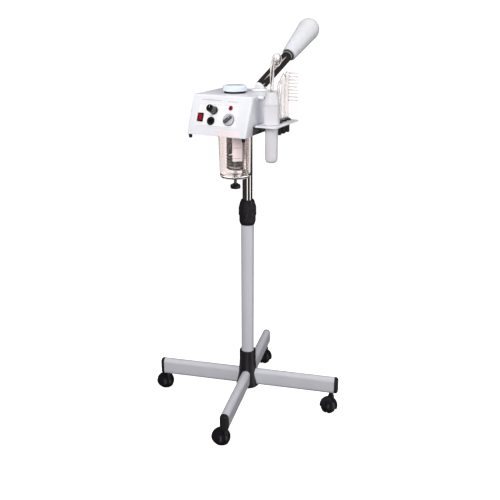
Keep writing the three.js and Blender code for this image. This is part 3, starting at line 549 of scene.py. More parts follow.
def caster(i, name):
    stem = Vector((CASTER["stem_at"], 0, 0))
    stem.rotate(Quaternion(UP, math.radians(LEG_FIRST + 90 * i)))
    place = rotation_z(CASTER_HEADINGS[i], stem)
    axle = place @ Matrix.Translation((CASTER["trail"], 0, CASTER["wheel"])) @ Matrix.Rotation(math.pi / 2,
                                                                                               4, "X")

    outer, inner = CASTER["hood"], CASTER["cavity"]
    low = -14.0
    shell_profile = (arc(outer, outer, 0, 0, 90, low, 28)[:-1]
                     + arc(1.1, 0.8, (outer + inner) / 2 * math.cos(math.radians(low)), (outer + inner) / 2
                           * math.sin(math.radians(low)) + 0.3, 10, -170, 6)
                     + arc(inner, inner, 0, 0, low + 2, 90, 28)[1:])
    shell_profile[0], shell_profile[-1] = (0, outer), (0, inner)
    lean = Matrix.Rotation(math.radians(-24), 4, "Y")
    centre = place @ Matrix.Translation((CASTER["trail"], 0, CASTER["wheel"]))
    hood = lathe("caster_shell", shell_profile, centre @ lean, sides=72, sharp=50)
    web = lathe("web", fillet([(3.6, -CASTER["web"]), (23, -CASTER["web"]), (23, CASTER["web"]),
                               (3.6, CASTER["web"])],
                              0.5, closed=True, steps=2), axle, sides=64, closed=True)
    spine = block("spine", (-4, -CASTER["web"], -3), (20, CASTER["web"], 27.2), 0.5, place=centre
                  @ Matrix.Translation((-16, 0, 0)))
    neck = lathe("neck", fillet([(0, 40), (9.5, 40), (9.5, 48.5), (7.2, 52.5), (6.8, 58.6), (5.6, 58.6),
                                 (5.5, 88),
                                 (4.6, 89), (0, 89)], [0, 0, 3, 3, 0.4, 0.3, 0, 0.5, 0], steps=4), place,
                                 sides=48)
    for part in (web, spine, neck):
        boolean(hood, part, "UNION", sharp=35)
    hood.name = f"caster_hood_moulding_{name}"
    finish(hood, CASTER_PLASTIC, f"caster_{name}", "caster_black", f"caster_hood_{name}")

    edge = CASTER["web"] + 0.7
    half = [(3.2, 0), (3.2, edge), (24, edge), (25, edge + 0.9), (25, 5.4), (24.4, 5.9), (24.6, 6.6),
            (23.3, 10.5),
            (20.8, 14.6), (17.2, 17.9), (15.4, 19.2), (14.8, 18.4), (12, 19.6), (6, 20.6), (4.6, 21.4),
            (0, 21.6)]
    profile = [(r, -z) for r, z in reversed(half[1:])] + half[1:]
    wheels = lathe(f"caster_wheel_pair_{name}", fillet(profile, 0.5, steps=3), axle, sides=72, sharp=50)
    finish(wheels, WHEEL_RUBBER, f"wheels_{name}", "wheel_black", f"caster_wheels_{name}")


for index, leg_name in enumerate(LEG_NAMES):
    leg(index, leg_name)
    caster(index, leg_name)
hub()
column()


# ------------------------------------------------------------------ head: casing
PANEL = Matrix.Translation((0, CASE["foot"], CASE["bottom"])) @ Matrix.Rotation(TILT, 4, "X")


def up_slope(z):
    return (z - CASE["bottom"]) / math.sin(TILT)


PLATE = dict(x0=-65.0, x1=58.0, low=up_slope(889), high=up_slope(946), base=0.3, thick=0.8)
FACE = 1.4
ROCKER = (-51.4, up_slope(910.9))
TALL_KNOB = (-14.6, up_slope(929))
LEAD_SOCKET = (-19.2, up_slope(903.6))
LAMP = (32.3, up_slope(937.3))
SELECTOR = (31.9, up_slope(909.3))
PRINT_TOP = PLATE["base"] + PLATE["thick"] + 0.12


def on_panel(x, y, z=0.0, turn=0.0):
    return PANEL @ Matrix.Translation((x, y, z)) @ Matrix.Rotation(math.radians(turn), 4, "Z")


def folded_sheet(name, corners, faces, bends, wall):
    """Sheet metal: outer faces with rounded folds, given thickness inward. bends maps edges to radii."""
    bm = bmesh.new()
    verts = [bm.verts.new(Vector(c) * MM) for c in corners]
    for face in faces:
        bm.faces.new([verts[k] for k in face])
    bmesh.ops.recalc_face_normals(bm, faces=bm.faces)
    bm.edges.ensure_lookup_table()
    weight = bm.edges.layers.float.new("bevel_weight_edge")
    widest = max(bends.values())
    for edge in bm.edges:
        pair = frozenset(verts.index(v) for v in edge.verts)
        edge[weight] = bends.get(pair, 0.0) / widest
    mesh = bpy.data.meshes.new(name)
    bm.to_mesh(mesh)
    bm.free()
    piece = bpy.data.objects.new(name, mesh)
    bpy.context.scene.collection.objects.link(piece)
    fold = piece.modifiers.new("fold", "BEVEL")
    fold.limit_method = "WEIGHT"
    fold.width = widest * MM
    fold.segments = 8
    thick = piece.modifiers.new("thick", "SOLIDIFY")
    thick.thickness = wall * MM
    thick.offset = -1
    thick.use_even_offset = True
    rim = piece.modifiers.new("rim", "BEVEL")
    rim.width = 0.35 * MM
    rim.segments = 2
    rim.limit_method = "ANGLE"
    rim.angle_limit = math.radians(60)
    return applied(piece, 40, weld=0.0005)


def front_cover():
    h, b, t = CASE["half"], CASE["bottom"], CASE["top"]
    corners = []
    for x in (-h, h):
        corners += [(x, CASE["foot"], b), (x, -142, b), (x, -129, t), (x, CASE["brow"], t)]
    faces = [(0, 1, 2, 3), (4, 7, 6, 5), (0, 3, 7, 4), (3, 2, 6, 7)]
    pairs = {(0, 3): 5.0, (4, 7): 5.0, (3, 7): 6.0, (2, 3): 4.0, (6, 7): 4.0}
    sheet = folded_sheet("front_cover_sheet", corners, faces, {frozenset(k): v for k, v in pairs.items()},
                         CASE["wall"])
    for centre, radius in ((LEAD_SOCKET, 8.0), (LAMP, 5.0)):
        boolean(sheet, lathe("hole", [(0, -9), (radius, -9), (radius, 9), (0, 9)], on_panel(*centre),
                             sides=48), "DIFFERENCE")
    boolean(sheet, block("hole", (-6.7, -9.7, -9), (6.7, 9.7, 9), 0, place=on_panel(*ROCKER)), "DIFFERENCE")
    finish(sheet, CASE_PAINT, "head", "case_white", "front_cover")


def housing():
    h, b, t, back = CASE["shell"], CASE["bottom"], CASE["top"], CASE["back"]
    corners = []
    for x in (-h, h):
        corners += [(x, -141.6, b), (x, back, b), (x, back, t), (x, -128.6, t)]
    faces = [(0, 1, 2, 3), (4, 7, 6, 5), (1, 5, 6, 2), (3, 2, 6, 7)]
    pairs = {(1, 2): 6.0, (5, 6): 6.0, (2, 6): 4.0, (2, 3): 4.0, (6, 7): 4.0}
    sheet = folded_sheet("housing_sheet", corners, faces, {frozenset(k): v for k, v in pairs.items()},
                         CASE["wall"])
    for (x, y), radius in (((JAR_X, JAR_Y), 27.0), ((ARM["base"][0], ARM["base"][1]), 12.0)):
        hole = lathe("hole", [(0, 950), (radius, 950), (radius, 980), (0, 980)],
                     Matrix.Translation((x, y, 0)), sides=96)
        boolean(sheet, hole, "DIFFERENCE")
    boolean(sheet, block("hole", (-54, 15, 905), (-26, 30, 925), 0), "DIFFERENCE")
    finish(sheet, CASE_PAINT, "head", "case_white", "housing_shell")

    pan = plate("base_pan_sheet", rounded_rectangle(-81, -181, 81, 20, 5), 869, 870.5,
                [circle(JAR_X, JAR_Y, 47.5, 96), circle(0, 0, 15.6)], 0.3)
    finish(pan, CASE_PAINT, "head", "case_white", "base_pan")

    feet = []
    for x, y in ((-78, -176), (78, -176), (-75, 12), (75, 12)):
        feet.append(lathe("foot", fillet([(0, 857.8), (4.4, 857.8), (5.2, 865), (5.3, 869.2), (0, 869.2)],
                                         [0, 1.2, 0.5, 0.4, 0]),
                          Matrix.Translation((x, y, 0)), sides=40))
    finish(merged("rubber_feet", feet), SEAL_RUBBER, "head", "rubber")


def screw(place, radius=3.0, height=1.5):
    """A pan-head screw with a cross recess, its head on the place's Z."""
    head = lathe("screw", [(0, -2), (1.4, -2), (1.4, 0), (radius, 0),
                           *arc(radius, height, 0, 0.2, 0, 90, 8)[1:-1],
                           (0, height + 0.2)], place, sides=32)
    for turn in (0, 90):
        slot = block("slot", (-1.5, -0.25, height - 0.7), (1.5, 0.25, height + 1), 0,
                     place=place @ Matrix.Rotation(math.radians(turn), 4, "Z"))
        boolean(head, slot, "DIFFERENCE", 30)
    return head


def casing_screws():
    back = CASE["back"] + 0.05
    screws = [screw(aimed((x, back, z), (0, 1, 0))) for x in (-72, 72) for z in (878, 958)]
    screws += [screw(aimed((-CASE["shell"] - 0.05, y, 880), (-1, 0, 0))) for y in (-118, 4)]
    finish(merged("casing_screws", screws, 30), SILVER, "head", "steel")


def mains_inlet():
    x, z = -40, 915
    facing = aimed((x, CASE["back"] + 0.3, z), (0, 1, 0))
    width, height = 36, 28
    outline = rounded_rectangle(-width / 2, -height / 2, width / 2, height / 2, 3)
    opening = rounded_rectangle(-11, -7, 11, 7, 2.5)
    flange = plate("flange", outline, 0, 2.7, [opening], 0.6, facing)
    cup_outer, cup_inner = rounded_rectangle(-12.5, -8.5, 12.5, 8.5, 3), opening
    rings = [[(px, py, -14) for px, py in cup_outer], [(px, py, 0.4) for px, py in cup_outer],
             [(px, py, 0.4) for px, py in cup_inner], [(px, py, -11) for px, py in cup_inner]]
    cup = new_object("cup", *skin(rings), facing)
    finish(merged("mains_inlet_moulding", [flange, cup]), GLOSS_BLACK, "head", "black_plastic", "mains_inlet")
    pins = [block("pin", (px - 1, py - 2, -11.2), (px + 1, py + 2, -2), 0.3, place=facing)
            for px, py in ((-7, 1.5), (7, 1.5), (0, -2.5))]
    finish(merged("mains_inlet_pins", pins), SILVER, "head", "steel")


front_cover()
housing()
casing_screws()
mains_inlet()

# ------------------------------------------------------------------ head: panel
def dash(x, y, length, width, turn):
    """A printed dash on the control plate."""
    low = PRINT_TOP - 0.1
    return block("dash", (-length / 2, -width / 2, low), (length / 2, width / 2, PRINT_TOP), 0,
                 place=on_panel(x, y, 0, turn))


def dial_marks(centre, radius, start, end, count, length=2.2):
    """Printed marks around a knob, between two angles in degrees from the panel's x."""
    marks = []
    for k in range(count):
        a = math.radians(start + (end - start) * k / (count - 1))
        at = radius + length / 2
        marks.append(dash(centre[0] + at * math.cos(a), centre[1] + at * math.sin(a), length, 0.6,
                          math.degrees(a)))
    return marks


def control_plate():
    outline = rounded_rectangle(PLATE["x0"], PLATE["low"], PLATE["x1"], PLATE["high"], 3)
    holes = [circle(*LEAD_SOCKET, 8.0), circle(*LAMP, 5.0),
             rounded_rectangle(ROCKER[0] - 6.8, ROCKER[1] - 9.8, ROCKER[0] + 6.8, ROCKER[1] + 9.8, 0.5)]
    base = plate("control_plate_film", outline, PLATE["base"], PLATE["base"] + PLATE["thick"], holes, 0.25,
                 PANEL)
    finish(base, PANEL_FILM, "head", "control_plate", "control_plate")
    line = 0.5
    inner = rounded_rectangle(PLATE["x0"] + 2.6, PLATE["low"] + 2.6, PLATE["x1"] - 2.6, PLATE["high"] - 2.6,
                              2)
    hole = rounded_rectangle(PLATE["x0"] + 2.6 + line, PLATE["low"] + 2.6 + line, PLATE["x1"] - 2.6 - line,
                             PLATE["high"] - 2.6 - line, 1.6)
    border = plate("border", inner, PRINT_TOP - 0.1, PRINT_TOP, [hole], 0.02, PANEL)
    grey = [border, *dial_marks(SELECTOR, 17.2, -60, 240, 11), *dial_marks(TALL_KNOB, 13.4, -60, 240, 9, 1.6)]
    grey += [dash(ROCKER[0], ROCKER[1] - 15.0, 9, 0.7, 0),
             dash(LEAD_SOCKET[0], LEAD_SOCKET[1] + 14.2, 8, 0.6, 0)]
    finish(merged("panel_marks", grey), PRINT_GREY, "head", "control_plate")


def panel_heading():
    """Plain coloured lines where the real panel carries its wording."""
    lines = [block("line", (-57, 92.8, -0.02), (0, 93.8, 0.12), 0, place=PANEL),
             block("line", (20, 91.0, -0.02), (48, 92.0, 0.12), 0, place=PANEL)]
    finish(merged("heading_lines", lines), PRINT_RED, "head", "case_white")
    sticker = plate("blank_sticker", rounded_rectangle(2, 2.2, 70, 16.4, 1.2), 0.02, 0.2, (), 0.05, PANEL)
    finish(sticker, STICKER_FILM, "head", "case_white")


def rocker():
    x, y = ROCKER
    outline = rounded_rectangle(-8.5, -11.5, 8.5, 11.5, 1.4)
    hole = rounded_rectangle(-5.2, -8.2, 5.2, 8.2, 0.5)
    bezel = plate("rocker_frame", outline, FACE, FACE + 2.2, [hole], 0.7, on_panel(x, y))
    walls = [[(px, py, pz) for px, py in rounded_rectangle(-w, -h, w, h, 0.5)]
             for w, h, pz in ((6.5, 9.5, -18), (6.5, 9.5, FACE + 1), (5.2, 8.2, FACE + 1), (5.2, 8.2, -8))]
    box = new_object("box", *skin(walls), on_panel(x, y))
    finish(merged("rocker_bezel_moulding", [bezel, box]), GLOSS_BLACK, "head", "black_plastic",
           "rocker_bezel")
    width, half = 4.6, 7.5
    high, middle, low = FACE + 3.4, FACE + 1.5, FACE + 1.0
    side = ([(-half + 1.5, -4), (half - 1.5, -4), (half, high - 0.6), (half - 0.5, high)]
            + [(half - 0.5 - (half - 0.5) * k / 8,
                high - (high - middle) * math.sin(math.pi / 2 * k / 8)) for k in range(1, 9)]
            + [(-half * k / 4, middle + (low - middle) * (k / 4) ** 2) for k in range(1, 5)])
    rings = [[(px, py, pz) for py, pz in side] for px in (-width, width)]
    key = bevelled(new_object("rocker_key", *skin(rings), on_panel(x, y)), 0.35, 2, 50)
    finish(key, RED_PLASTIC, "rocker_switch", "red_plastic", "rocker_switch")


def intensity_knob():
    place = on_panel(*TALL_KNOB)
    base = lathe("knob_base", fillet([(3.2, FACE), (11.4, FACE), (11.4, FACE + 1.6), (10.4, FACE + 2.8),
                                      (3.2, FACE + 2.8)],
                                     [0, 0.3, 0.5, 0.4, 0], closed=True), place, closed=True)
    finish(base, SILVER, "intensity_knob", "steel")

    def flutes(angle, radius, z):
        return radius - (0.45 * abs(math.sin(15 * angle)) ** 3 if 6 < z < 27 and radius > 8 else 0)
    grip = lathe("intensity_knob_grip", fillet([
        (0, FACE + 3), (10.2, FACE + 3), (10.2, 5.6), (9.8, 6.2), (9.8, 7), (9.5, 26), (9.4, 27.4),
        (8.6, 29.6), (7, 30),
        (6.6, 29.4), (0, 29.2)], [0, 0.4, 0.3, 0.2, 0, 0, 0.6, 1, 0.4, 0.3, 0]), place, sides=300,
        wave=flutes)
    finish(grip, GLOSS_BLACK, "intensity_knob", "black_plastic", "intensity_knob")
    line = block("intensity_pointer", (-0.5, 1.5, 29.2), (0.5, 6, 29.7), 0.15, place=place)
    finish(line, PANEL_FILM, "intensity_knob", "control_plate")


def selector_knob():
    place = on_panel(*SELECTOR)
    skirt = lathe("selector_skirt", fillet([
        (0, FACE), (15, FACE), (15, FACE + 2.2), (14.2, FACE + 3.4), (12.6, FACE + 4.6), (0, FACE + 5)],
        [0, 0.3, 0.6, 1, 2, 0]), place)
    finish(skirt, SILVER_PAINT, "selector_knob", "selector_grey")
    ring = tube_ring("selector_rim", 15.6, 14.5, FACE + 0.05, FACE + 2.6, place, edge=0.4)
    finish(ring, BLACK_PLASTIC, "selector_knob", "black_plastic")
    bar = plate("selector_bar", rounded_rectangle(-4, -13, 4, 13, 3), FACE + 4.4, FACE + 12, (), 1.2,
                place @ Matrix.Rotation(math.radians(-45), 4, "Z"))
    finish(bar, GREY_PLASTIC_AND_SHADE, "selector_knob", "selector_grey", "selector_knob")
    line = block("selector_pointer", (-0.5, 4, FACE + 11.9), (0.5, 12, FACE + 12.2), 0.1,
                 place=place @ Matrix.Rotation(math.radians(-45), 4, "Z"))
    finish(line, PANEL_FILM, "selector_knob", "control_plate")


def lead_socket():
    place = on_panel(*LEAD_SOCKET)
    body = lathe("lead_socket_moulding", fillet([
        (0, -10), (7.6, -10), (7.6, FACE), (11, FACE), (11, FACE + 1.6), (10, FACE + 2.6), (6.6, FACE + 2.9),
        (6.2, FACE + 1.9), (4.5, FACE + 1.9), (4.5, -7), (0, -7)],
        [0, 0.5, 0.2, 0.3, 0.6, 0.5, 0.3, 0.3, 0.4, 0.2, 0]), place)
    finish(body, BLACK_PLASTIC, "head", "black_plastic", "lead_socket")
    pin = lathe("lead_socket_contact", fillet([(0, -7.2), (1.2, -7.2), (1.2, -3), (0.7, -2), (0, -2)],
                                              [0, 0, 0.5, 0.3, 0]), place, sides=24)
    finish(pin, STAINED_STEEL, "head", "steel")


def lamp():
    place = on_panel(*LAMP)
    ring = tube_ring("lamp_bezel", 6.2, 4.9, FACE - 0.1, FACE + 1.7, place, 64, 0.5)
    finish(ring, SILVER, "head", "steel")
    jewel = lathe("lamp_jewel", [(0, -8), (4.4, -8), (4.6, FACE), (4.75, FACE + 1.6), (4.2, FACE + 3.4),
                                 (2.6, FACE + 4.7),
                                 (0, FACE + 4.9)], place, sides=10, sharp=12)
    finish(jewel, JEWEL, "head", "lamp_red", "indicator_lamp")
    glow = lathe("lamp_reflector", [(0, -7), (3.4, -7), (3.6, FACE - 0.5), (0, FACE - 0.2)], place, sides=24)
    finish(glow, RED_PLASTIC, "head", "red_plastic")


control_plate()
panel_heading()
rocker()
intensity_knob()
selector_knob()
lead_socket()
lamp()


# ------------------------------------------------------------------ head: jar, boiler and filler
def jar():
    place = Matrix.Translation((JAR_X, JAR_Y, 0))
    top, foot, wall = JAR["top_radius"], JAR["foot_radius"], JAR["wall"]
    z0, z1 = JAR["bottom"], JAR["top"]
    glass = lathe("jar_glass_body", fillet([
        (5.2, z0), (foot - 8, z0), (foot - 1.5, z0 + 1), (foot, z0 + 9), (top, z1), (top - wall, z1),
        (foot - wall, z0 + 11), (foot - wall - 4, z0 + 5), (5.2, z0 + 5)],
        [0.8, 4, 7, 12, 1.2, 1.2, 9, 6, 0.8], closed=True, steps=8), place, sides=160, closed=True, sharp=60)
    finish(glass, JAR_GLASS, "glass_jar", "jar_glass", "glass_jar")
    washer = tube_ring("jar_washer", 7.6, 5.2, z0 + 5.2, z0 + 6.8, place, 48, 0.4)
    finish(washer, GREY_PLASTIC_AND_SHADE, "glass_jar", "rubber")

    def patch(name, z_low, z_high, middle, width, stand_off, thick, material, slot):
        """A thin curved patch on the jar's outside."""
        steps = 24
        rings = []
        for z, off in ((z_low, stand_off), (z_high, stand_off), (z_high, stand_off + thick),
                       (z_low, stand_off + thick)):
            r = foot + (top - foot) * (z - z0 - 9) / (z1 - z0 - 9) + off
            span = width / r
            ring = []
            for k in range(steps + 1):
                a = math.radians(middle) + span * (k / steps - 0.5)
                ring.append((r * math.cos(a), r * math.sin(a), z))
            rings.append(ring)
        verts = [v for ring in rings for v in ring]
        n = steps + 1
        faces = []
        for k in range(steps):
            for s in range(4):
                a, b = s * n + k, ((s + 1) % 4) * n + k
                faces.append((a, a + 1, b + 1, b))
        faces += [(0, n, 2 * n, 3 * n), (steps, n + steps, 2 * n + steps, 3 * n + steps)]
        return finish(new_object(name, verts, faces, place), material, "glass_jar", slot)
    patch("jar_label", 792, 866, -54, 27, 0.12, 0.12, LABEL_FILM, "white_plastic")
    patch("jar_level_line", 828, 829.2, -55, 22, 0.26, 0.1, PRINT_RED, "white_plastic")
    patch("jar_low_line", 800, 801, -55, 22, 0.26, 0.1, PRINT_RED, "white_plastic")


def heater():
    place = Matrix.Translation((JAR_X, JAR_Y, 0))
    radius, wire, low, turns, pitch = 21.0, 3.2, 764.0, 4, 9.0
    per_turn = 40
    total = int((turns + 0.5) * per_turn)
    path = [Vector((-radius * 0.92, 0, 806))]
    for k in range(total + 1):
        a = math.pi + 2 * math.pi * k / per_turn
        path.append(Vector((radius * math.cos(a), radius * math.sin(a),
                            low + pitch * turns * (1 - k / total))))
    path = [path[0]] + path[2:-1] + [Vector((radius * 0.92, 0, low + 6)), Vector((radius * 0.92, 0, 806))]
    coil = sweep("heater_coil_tube", path, wire, place, sides=20)
    sleeves = [lathe("sleeve", fillet([(0, 801), (5, 801), (8, 804), (8, 890), (8, 896), (0, 896)],
                                      [0, 1, 1.5, 0, 1, 0]),
                     Matrix.Translation((JAR_X + side * 18, JAR_Y, 0)), sides=48) for side in (-1, 1)]
    finish(merged("heater", [coil, *sleeves]), STAINED_STEEL, "head", "heater_steel", "heater_coil")


def tie_rod():
    place = Matrix.Translation((JAR_X, JAR_Y, 0))
    profile = [(0, 710), (3.8, 710), (4.5, 711)]
    z = 711.0
    while z < 748:
        profile += [(4.5, z + 0.3), (4.05, z + 0.75)]
        z += 1.0
    profile += [(4.4, 750), (4.4, 895), (0, 895)]
    rod = lathe("rod", profile, place, sides=48, sharp=30)
    bar = block("bar", (-4, -40.5, 889), (4, 40.5, 895), 0.8, place=place)
    finish(boolean(rod, bar, "UNION"), STEEL, "head", "steel", "tie_rod")
    rod.name = "tie_rod_steel"

    def lobes(angle, radius, z):
        return radius - (1.7 * (0.5 - 0.5 * math.cos(6 * angle)) if radius > 10 else 0)
    nut = lathe("jar_nut_moulding", fillet([
        (5.2, 708), (13.2, 708), (15.3, 710.5), (15.3, 716.5), (13.4, 718.6), (8.4, 719.6), (7.6, 722),
        (5.2, 722)],
        [0.3, 1.5, 2, 2, 2, 1, 0.6, 0.3], closed=True, steps=4), place, sides=144, closed=True, wave=lobes)
    finish(nut, GLOSS_BLACK, "jar_nut", "black_plastic", "jar_nut")


def filler():
    place = Matrix.Translation((JAR_X, JAR_Y, 0))
    seal = tube_ring("filler_seal", 29, 22.3, 967.8, 972.4, place, 96, 1.2)
    finish(seal, SEAL_RUBBER, "head", "rubber", "cap_gasket")

    def grip(angle, radius, z):
        return radius - (0.3 * (0.5 + 0.5 * math.cos(60 * angle)) if radius > 31.8 and 975 < z < 983 else 0)
    cap = lathe("filler_cap_moulding", fillet([
        (0, 956), (20.5, 956), (21.3, 958), (21.3, 972.7), (31.2, 972.7), (32.3, 974.2), (32.3, 982.6),
        (30.6, 985.8),
        (26.5, 987.5), (25.4, 987.0), (24.5, 987.6), (0, 988)],
        [0, 0.5, 0.6, 0.2, 0.8, 0.8, 3, 3, 1, 0.5, 0.5, 0]), place, sides=240, wave=grip)
    finish(cap, CAP_PLASTIC, "filler_cap", "cap_white", "filler_cap")


jar()
heater()
tie_rod()
filler()


# ------------------------------------------------------------------ right side
def shelf():
    outline = rounded_rectangle(86.2, -136, 150, 15, 9)
    holes = [circle(*HAND, 17.5, 96)] + [circle(x, y, 8.6) for x, y in SOCKETS.values()]
    holes.append(circle(139, -119, 3.2, 40))
    board = plate("shelf_sheet", outline, SHELF_TOP - 3.5, SHELF_TOP, holes, 0.9)
    finish(board, CASE_PAINT, "head", "case_white", "shelf")
    # The dark sheet on the side wall under the shelf is painted shade: it darkens the strip where the shelf
    # casts its shadow.
    side = [(-138, 868.6), (14.8, 868.6), (14.8, 889.6), (-138, 889.6)]
    rings = [[(x, y, z) for y, z in fillet(side, 2.0, closed=True)] for x in (83.3, 85.0)]
    web = new_object("web", *skin(rings))
    flange = block("flange", (84.0, -130, 887.7), (98, 14.5, 889.6), 0.4)
    finish(merged("shelf_bracket_painted_shade", [bevelled(web, 0.3, 2, 50), flange]), GREY_PLASTIC_AND_SHADE, "head",
           "grey_plastic",
           "shelf_bracket")
    heads = [screw(aimed((85.0, y, 879), (1, 0, 0)), 2.6, 1.2) for y in (-110, -10)]
    finish(merged("bracket_screws", heads, 30), STEEL, "head", "steel")


def cradle():
    reach = 21.1
    start, end = -104.0, -78.0
    a0 = math.atan2(start - HAND[1], -math.sqrt(reach ** 2 - (start - HAND[1]) ** 2))
    a1 = math.atan2(end - HAND[1], -math.sqrt(reach ** 2 - (end - HAND[1]) ** 2))
    a0 += 2 * math.pi if a0 < 0 else 0
    hollow = arc(reach, reach, *HAND, math.degrees(a0), math.degrees(a1), 16)
    outline = [(83.3, end), (83.3, start), *hollow]
    tab = plate("cradle_tab", outline, 958, 966, (), 1.2)
    finish(tab, WHITE_PLASTIC, "head", "white_plastic", "handpiece_cradle")


def electrode_sockets():
    for k, (x, y) in enumerate(SOCKETS.values()):
        def knurl(angle, radius, z):
            return radius - (0.35 * (0.5 + 0.5 * math.cos(30 * angle)) if radius > 10.8 else 0)
        cup = lathe(f"electrode_holder_{k + 1}", fillet([
            (0, 861), (8.3, 861), (8.3, 893.8), (11.2, 893.8), (11.2, 896.8), (10.2, 897.8), (5.9, 897.8),
            (5.9, 867.6),
            (0, 867.6)], [0, 1.2, 0.2, 0.4, 0.6, 0.6, 0.7, 0.3, 0]), Matrix.Translation((x, y, 0)),
            sides=180, wave=knurl)
        finish(cup, BLACK_PLASTIC, "head", "black_plastic", f"electrode_socket_{k + 1}")


def handpiece():
    place = Matrix.Translation((*HAND, 0))
    barrel = lathe("handpiece_barrel", fillet([
        (0, 794), (8, 794), (13.5, 796.2), (16.3, 801.5), (16.8, 808), (16.8, 893.7), (20.1, 893.8),
        (20.5, 894.4),
        (20.5, 941.6), (19.9, 942.4), (20.0, 943.6), (15.5, 943.6), (15.5, 900), (0, 899)],
        [0, 4, 5, 5, 0, 0.4, 0.5, 0.8, 0.6, 0.3, 0.3, 0.3, 0.5, 0]), place, sides=128)
    finish(barrel, HAND_PLASTIC, "handpiece", "handpiece_white", "handpiece_body")
    nose = lathe("handpiece_nose_cone", fillet([
        (0, 944), (20.1, 944), (20.5, 944.6), (20.3, 947), (18.4, 956), (15.2, 967.5), (13.0, 974.5),
        (11.4, 976.9),
        (8.5, 977), (5.7, 977), (5.7, 952), (0, 952)], [0, 0.3, 0.4, 2, 20, 20, 6, 1.6, 0, 0.8, 0.2, 0]),
        place, sides=128)
    finish(nose, HAND_PLASTIC, "handpiece", "handpiece_white", "handpiece_nose")


def glass_shell(name, outer, inner, body, node_name):
    """A hollow glass electrode: the outside and, turned inward, the inside of its wall."""
    bm = bmesh.new()
    bm.from_mesh(inner.data)
    bmesh.ops.reverse_faces(bm, faces=bm.faces)
    inside = bpy.data.meshes.new("inside")
    bm.to_mesh(inside)
    bm.free()
    bm = bmesh.new()
    bm.from_mesh(outer.data)
    bm.from_mesh(inside)
    bm.to_mesh(outer.data)
    bm.free()
    bpy.data.objects.remove(inner)
    outer.data.set_sharp_from_angle(angle=math.radians(60))
    outer.name = name
    return finish(outer, ELECTRODE_GLASS, body, "glass", node_name)


def round_ended(path, radius, taper=0.0):
    """Radii along a path that close it with round ends."""
    lengths = [0.0]
    for a, b in zip(path, path[1:]):
        lengths.append(lengths[-1] + (b - a).length)
    total = lengths[-1]
    radii = []
    for s in lengths:
        near = min(s, total - s)
        r = radius * (1 - taper * s / total)
        radii.append(r if near >= r else math.sqrt(max(0.0, r * r - (r - near) ** 2)))
    radii[0] = radii[-1] = 0.0
    return radii


def dense(points, per=10):
    """A smooth path with extra points near its ends, for round tips."""
    path = spline_points(points, per)
    head, tail = path[0], path[-1]
    first = [head.lerp(path[1], t) for t in (0.0, 0.02, 0.06, 0.14, 0.3, 0.6)]
    last = [path[-2].lerp(tail, t) for t in (0.4, 0.7, 0.86, 0.94, 0.98, 1.0)]
    return first + path[1:-1] + last


def mushroom():
    place = Matrix.Translation((*HAND, 0))
    face = Vector((0.94, -0.31, 0)).normalized()
    centre = Vector((14.5, -4.8, 1057))
    flat = place @ aimed(centre, face)

    def bulb(shrink):
        profile = [(0, -5 + shrink), *[(17 * math.sin(a) - shrink * math.sin(a),
                                        -(5 - shrink) * math.cos(a) ** 0.7)
                                      for a in (math.radians(k) for k in range(10, 90, 8))],
                   (17 - shrink, 0),
                   *[(17 * math.sin(a) - shrink * math.sin(a), (5 - shrink) * math.cos(a) ** 0.7)
                     for a in (math.radians(k) for k in range(82, 2, -8))], (0, 5 - shrink)]
        return lathe("bulb", profile, flat, sides=72, sharp=70)

    def stalk(radius, z0):
        path = spline_points([(0, 0, z0), (0, 0, 985), (0, 0, 1020), (0, 0, 1038), (1.6, -0.6, 1049),
                              (6.5, -2.2, 1055.5),
                              (10.5, -3.6, 1057)], 8)
        return sweep("stalk", path, [radius] * len(path), place, sides=40)
    outer = boolean(stalk(5.2, 953), bulb(0), "UNION", 60)
    inner = boolean(stalk(3.9, 956), bulb(1.3), "UNION", 60)
    glass_shell("mushroom_glass", outer, inner, "mushroom_electrode", "mushroom_electrode")
    cap = lathe("mushroom_ferrule", fillet([(5.3, 971), (5.55, 971), (5.55, 976.5), (5.3, 976.5)], 0.1,
                                           closed=True), place,
                sides=40, closed=True)
    finish(cap, SILVER, "mushroom_electrode", "steel")


def comb():
    place = Matrix.Translation((*SOCKETS["comb"], 0))

    def made(shrink):
        path = dense([(0, 0, 868 + shrink), (0, 0, 920), (0, 0, 970), (0, 0, 1021 - shrink)], 8)
        tube = sweep("tube", path, round_ended(path, 5.5 - shrink), place, sides=36)
        for k in range(9):
            z = 946 + 70 * k / 8
            tooth_path = dense([(1, 0, z), (12, 0, z), (31 - shrink, 0, z)], 4)
            radii = round_ended(tooth_path, 2.25 - shrink * 0.7)
            tooth = sweep("tooth", tooth_path, radii, place, sides=20)
            boolean(tube, tooth, "UNION", 60)
        return tube
    glass_shell("comb_glass", made(0), made(1.2), "comb_electrode", "comb_electrode")


def tongue():
    place = Matrix.Translation((*SOCKETS["tongue"], 0))

    def made(shrink):
        sections = [(868, 0, 0), (868.6, 3.5, 3.5), (870, 5.2, 5.2), (873, 5.5, 5.5), (972, 5.5, 5.5),
                    (979, 5.1, 5.1), (984, 4.6, 4.4),
                    (989, 6.0, 4.0), (995, 8.2, 4.0), (1001, 9.0, 3.7), (1006, 8.2, 3.4), (1011, 6.0, 2.9),
                    (1015, 3.4, 2.2),
                    (1017.4, 1.4, 1.2), (1018, 0, 0)]
        rings = []
        for z, rx, ry in sections:
            z = z + shrink if z < 900 else (z - shrink if z > 1010 else z)
            rx, ry = max(0.0, rx - shrink), max(0.0, ry - shrink)
            if rx <= 0.05:
                rings.append([(0, 0, z)])
            else:
                rings.append([(rx * math.cos(2 * math.pi * k / 40), ry * math.sin(2 * math.pi * k / 40),
                               z) for k in range(40)])
        while len(rings[1]) == 1:
            rings.pop(0)
        while len(rings[-2]) == 1:
            rings.pop()
        return new_object("tongue", *skin(rings), place, 60)
    glass_shell("tongue_glass", made(0), made(1.1), "tongue_electrode", "tongue_electrode")


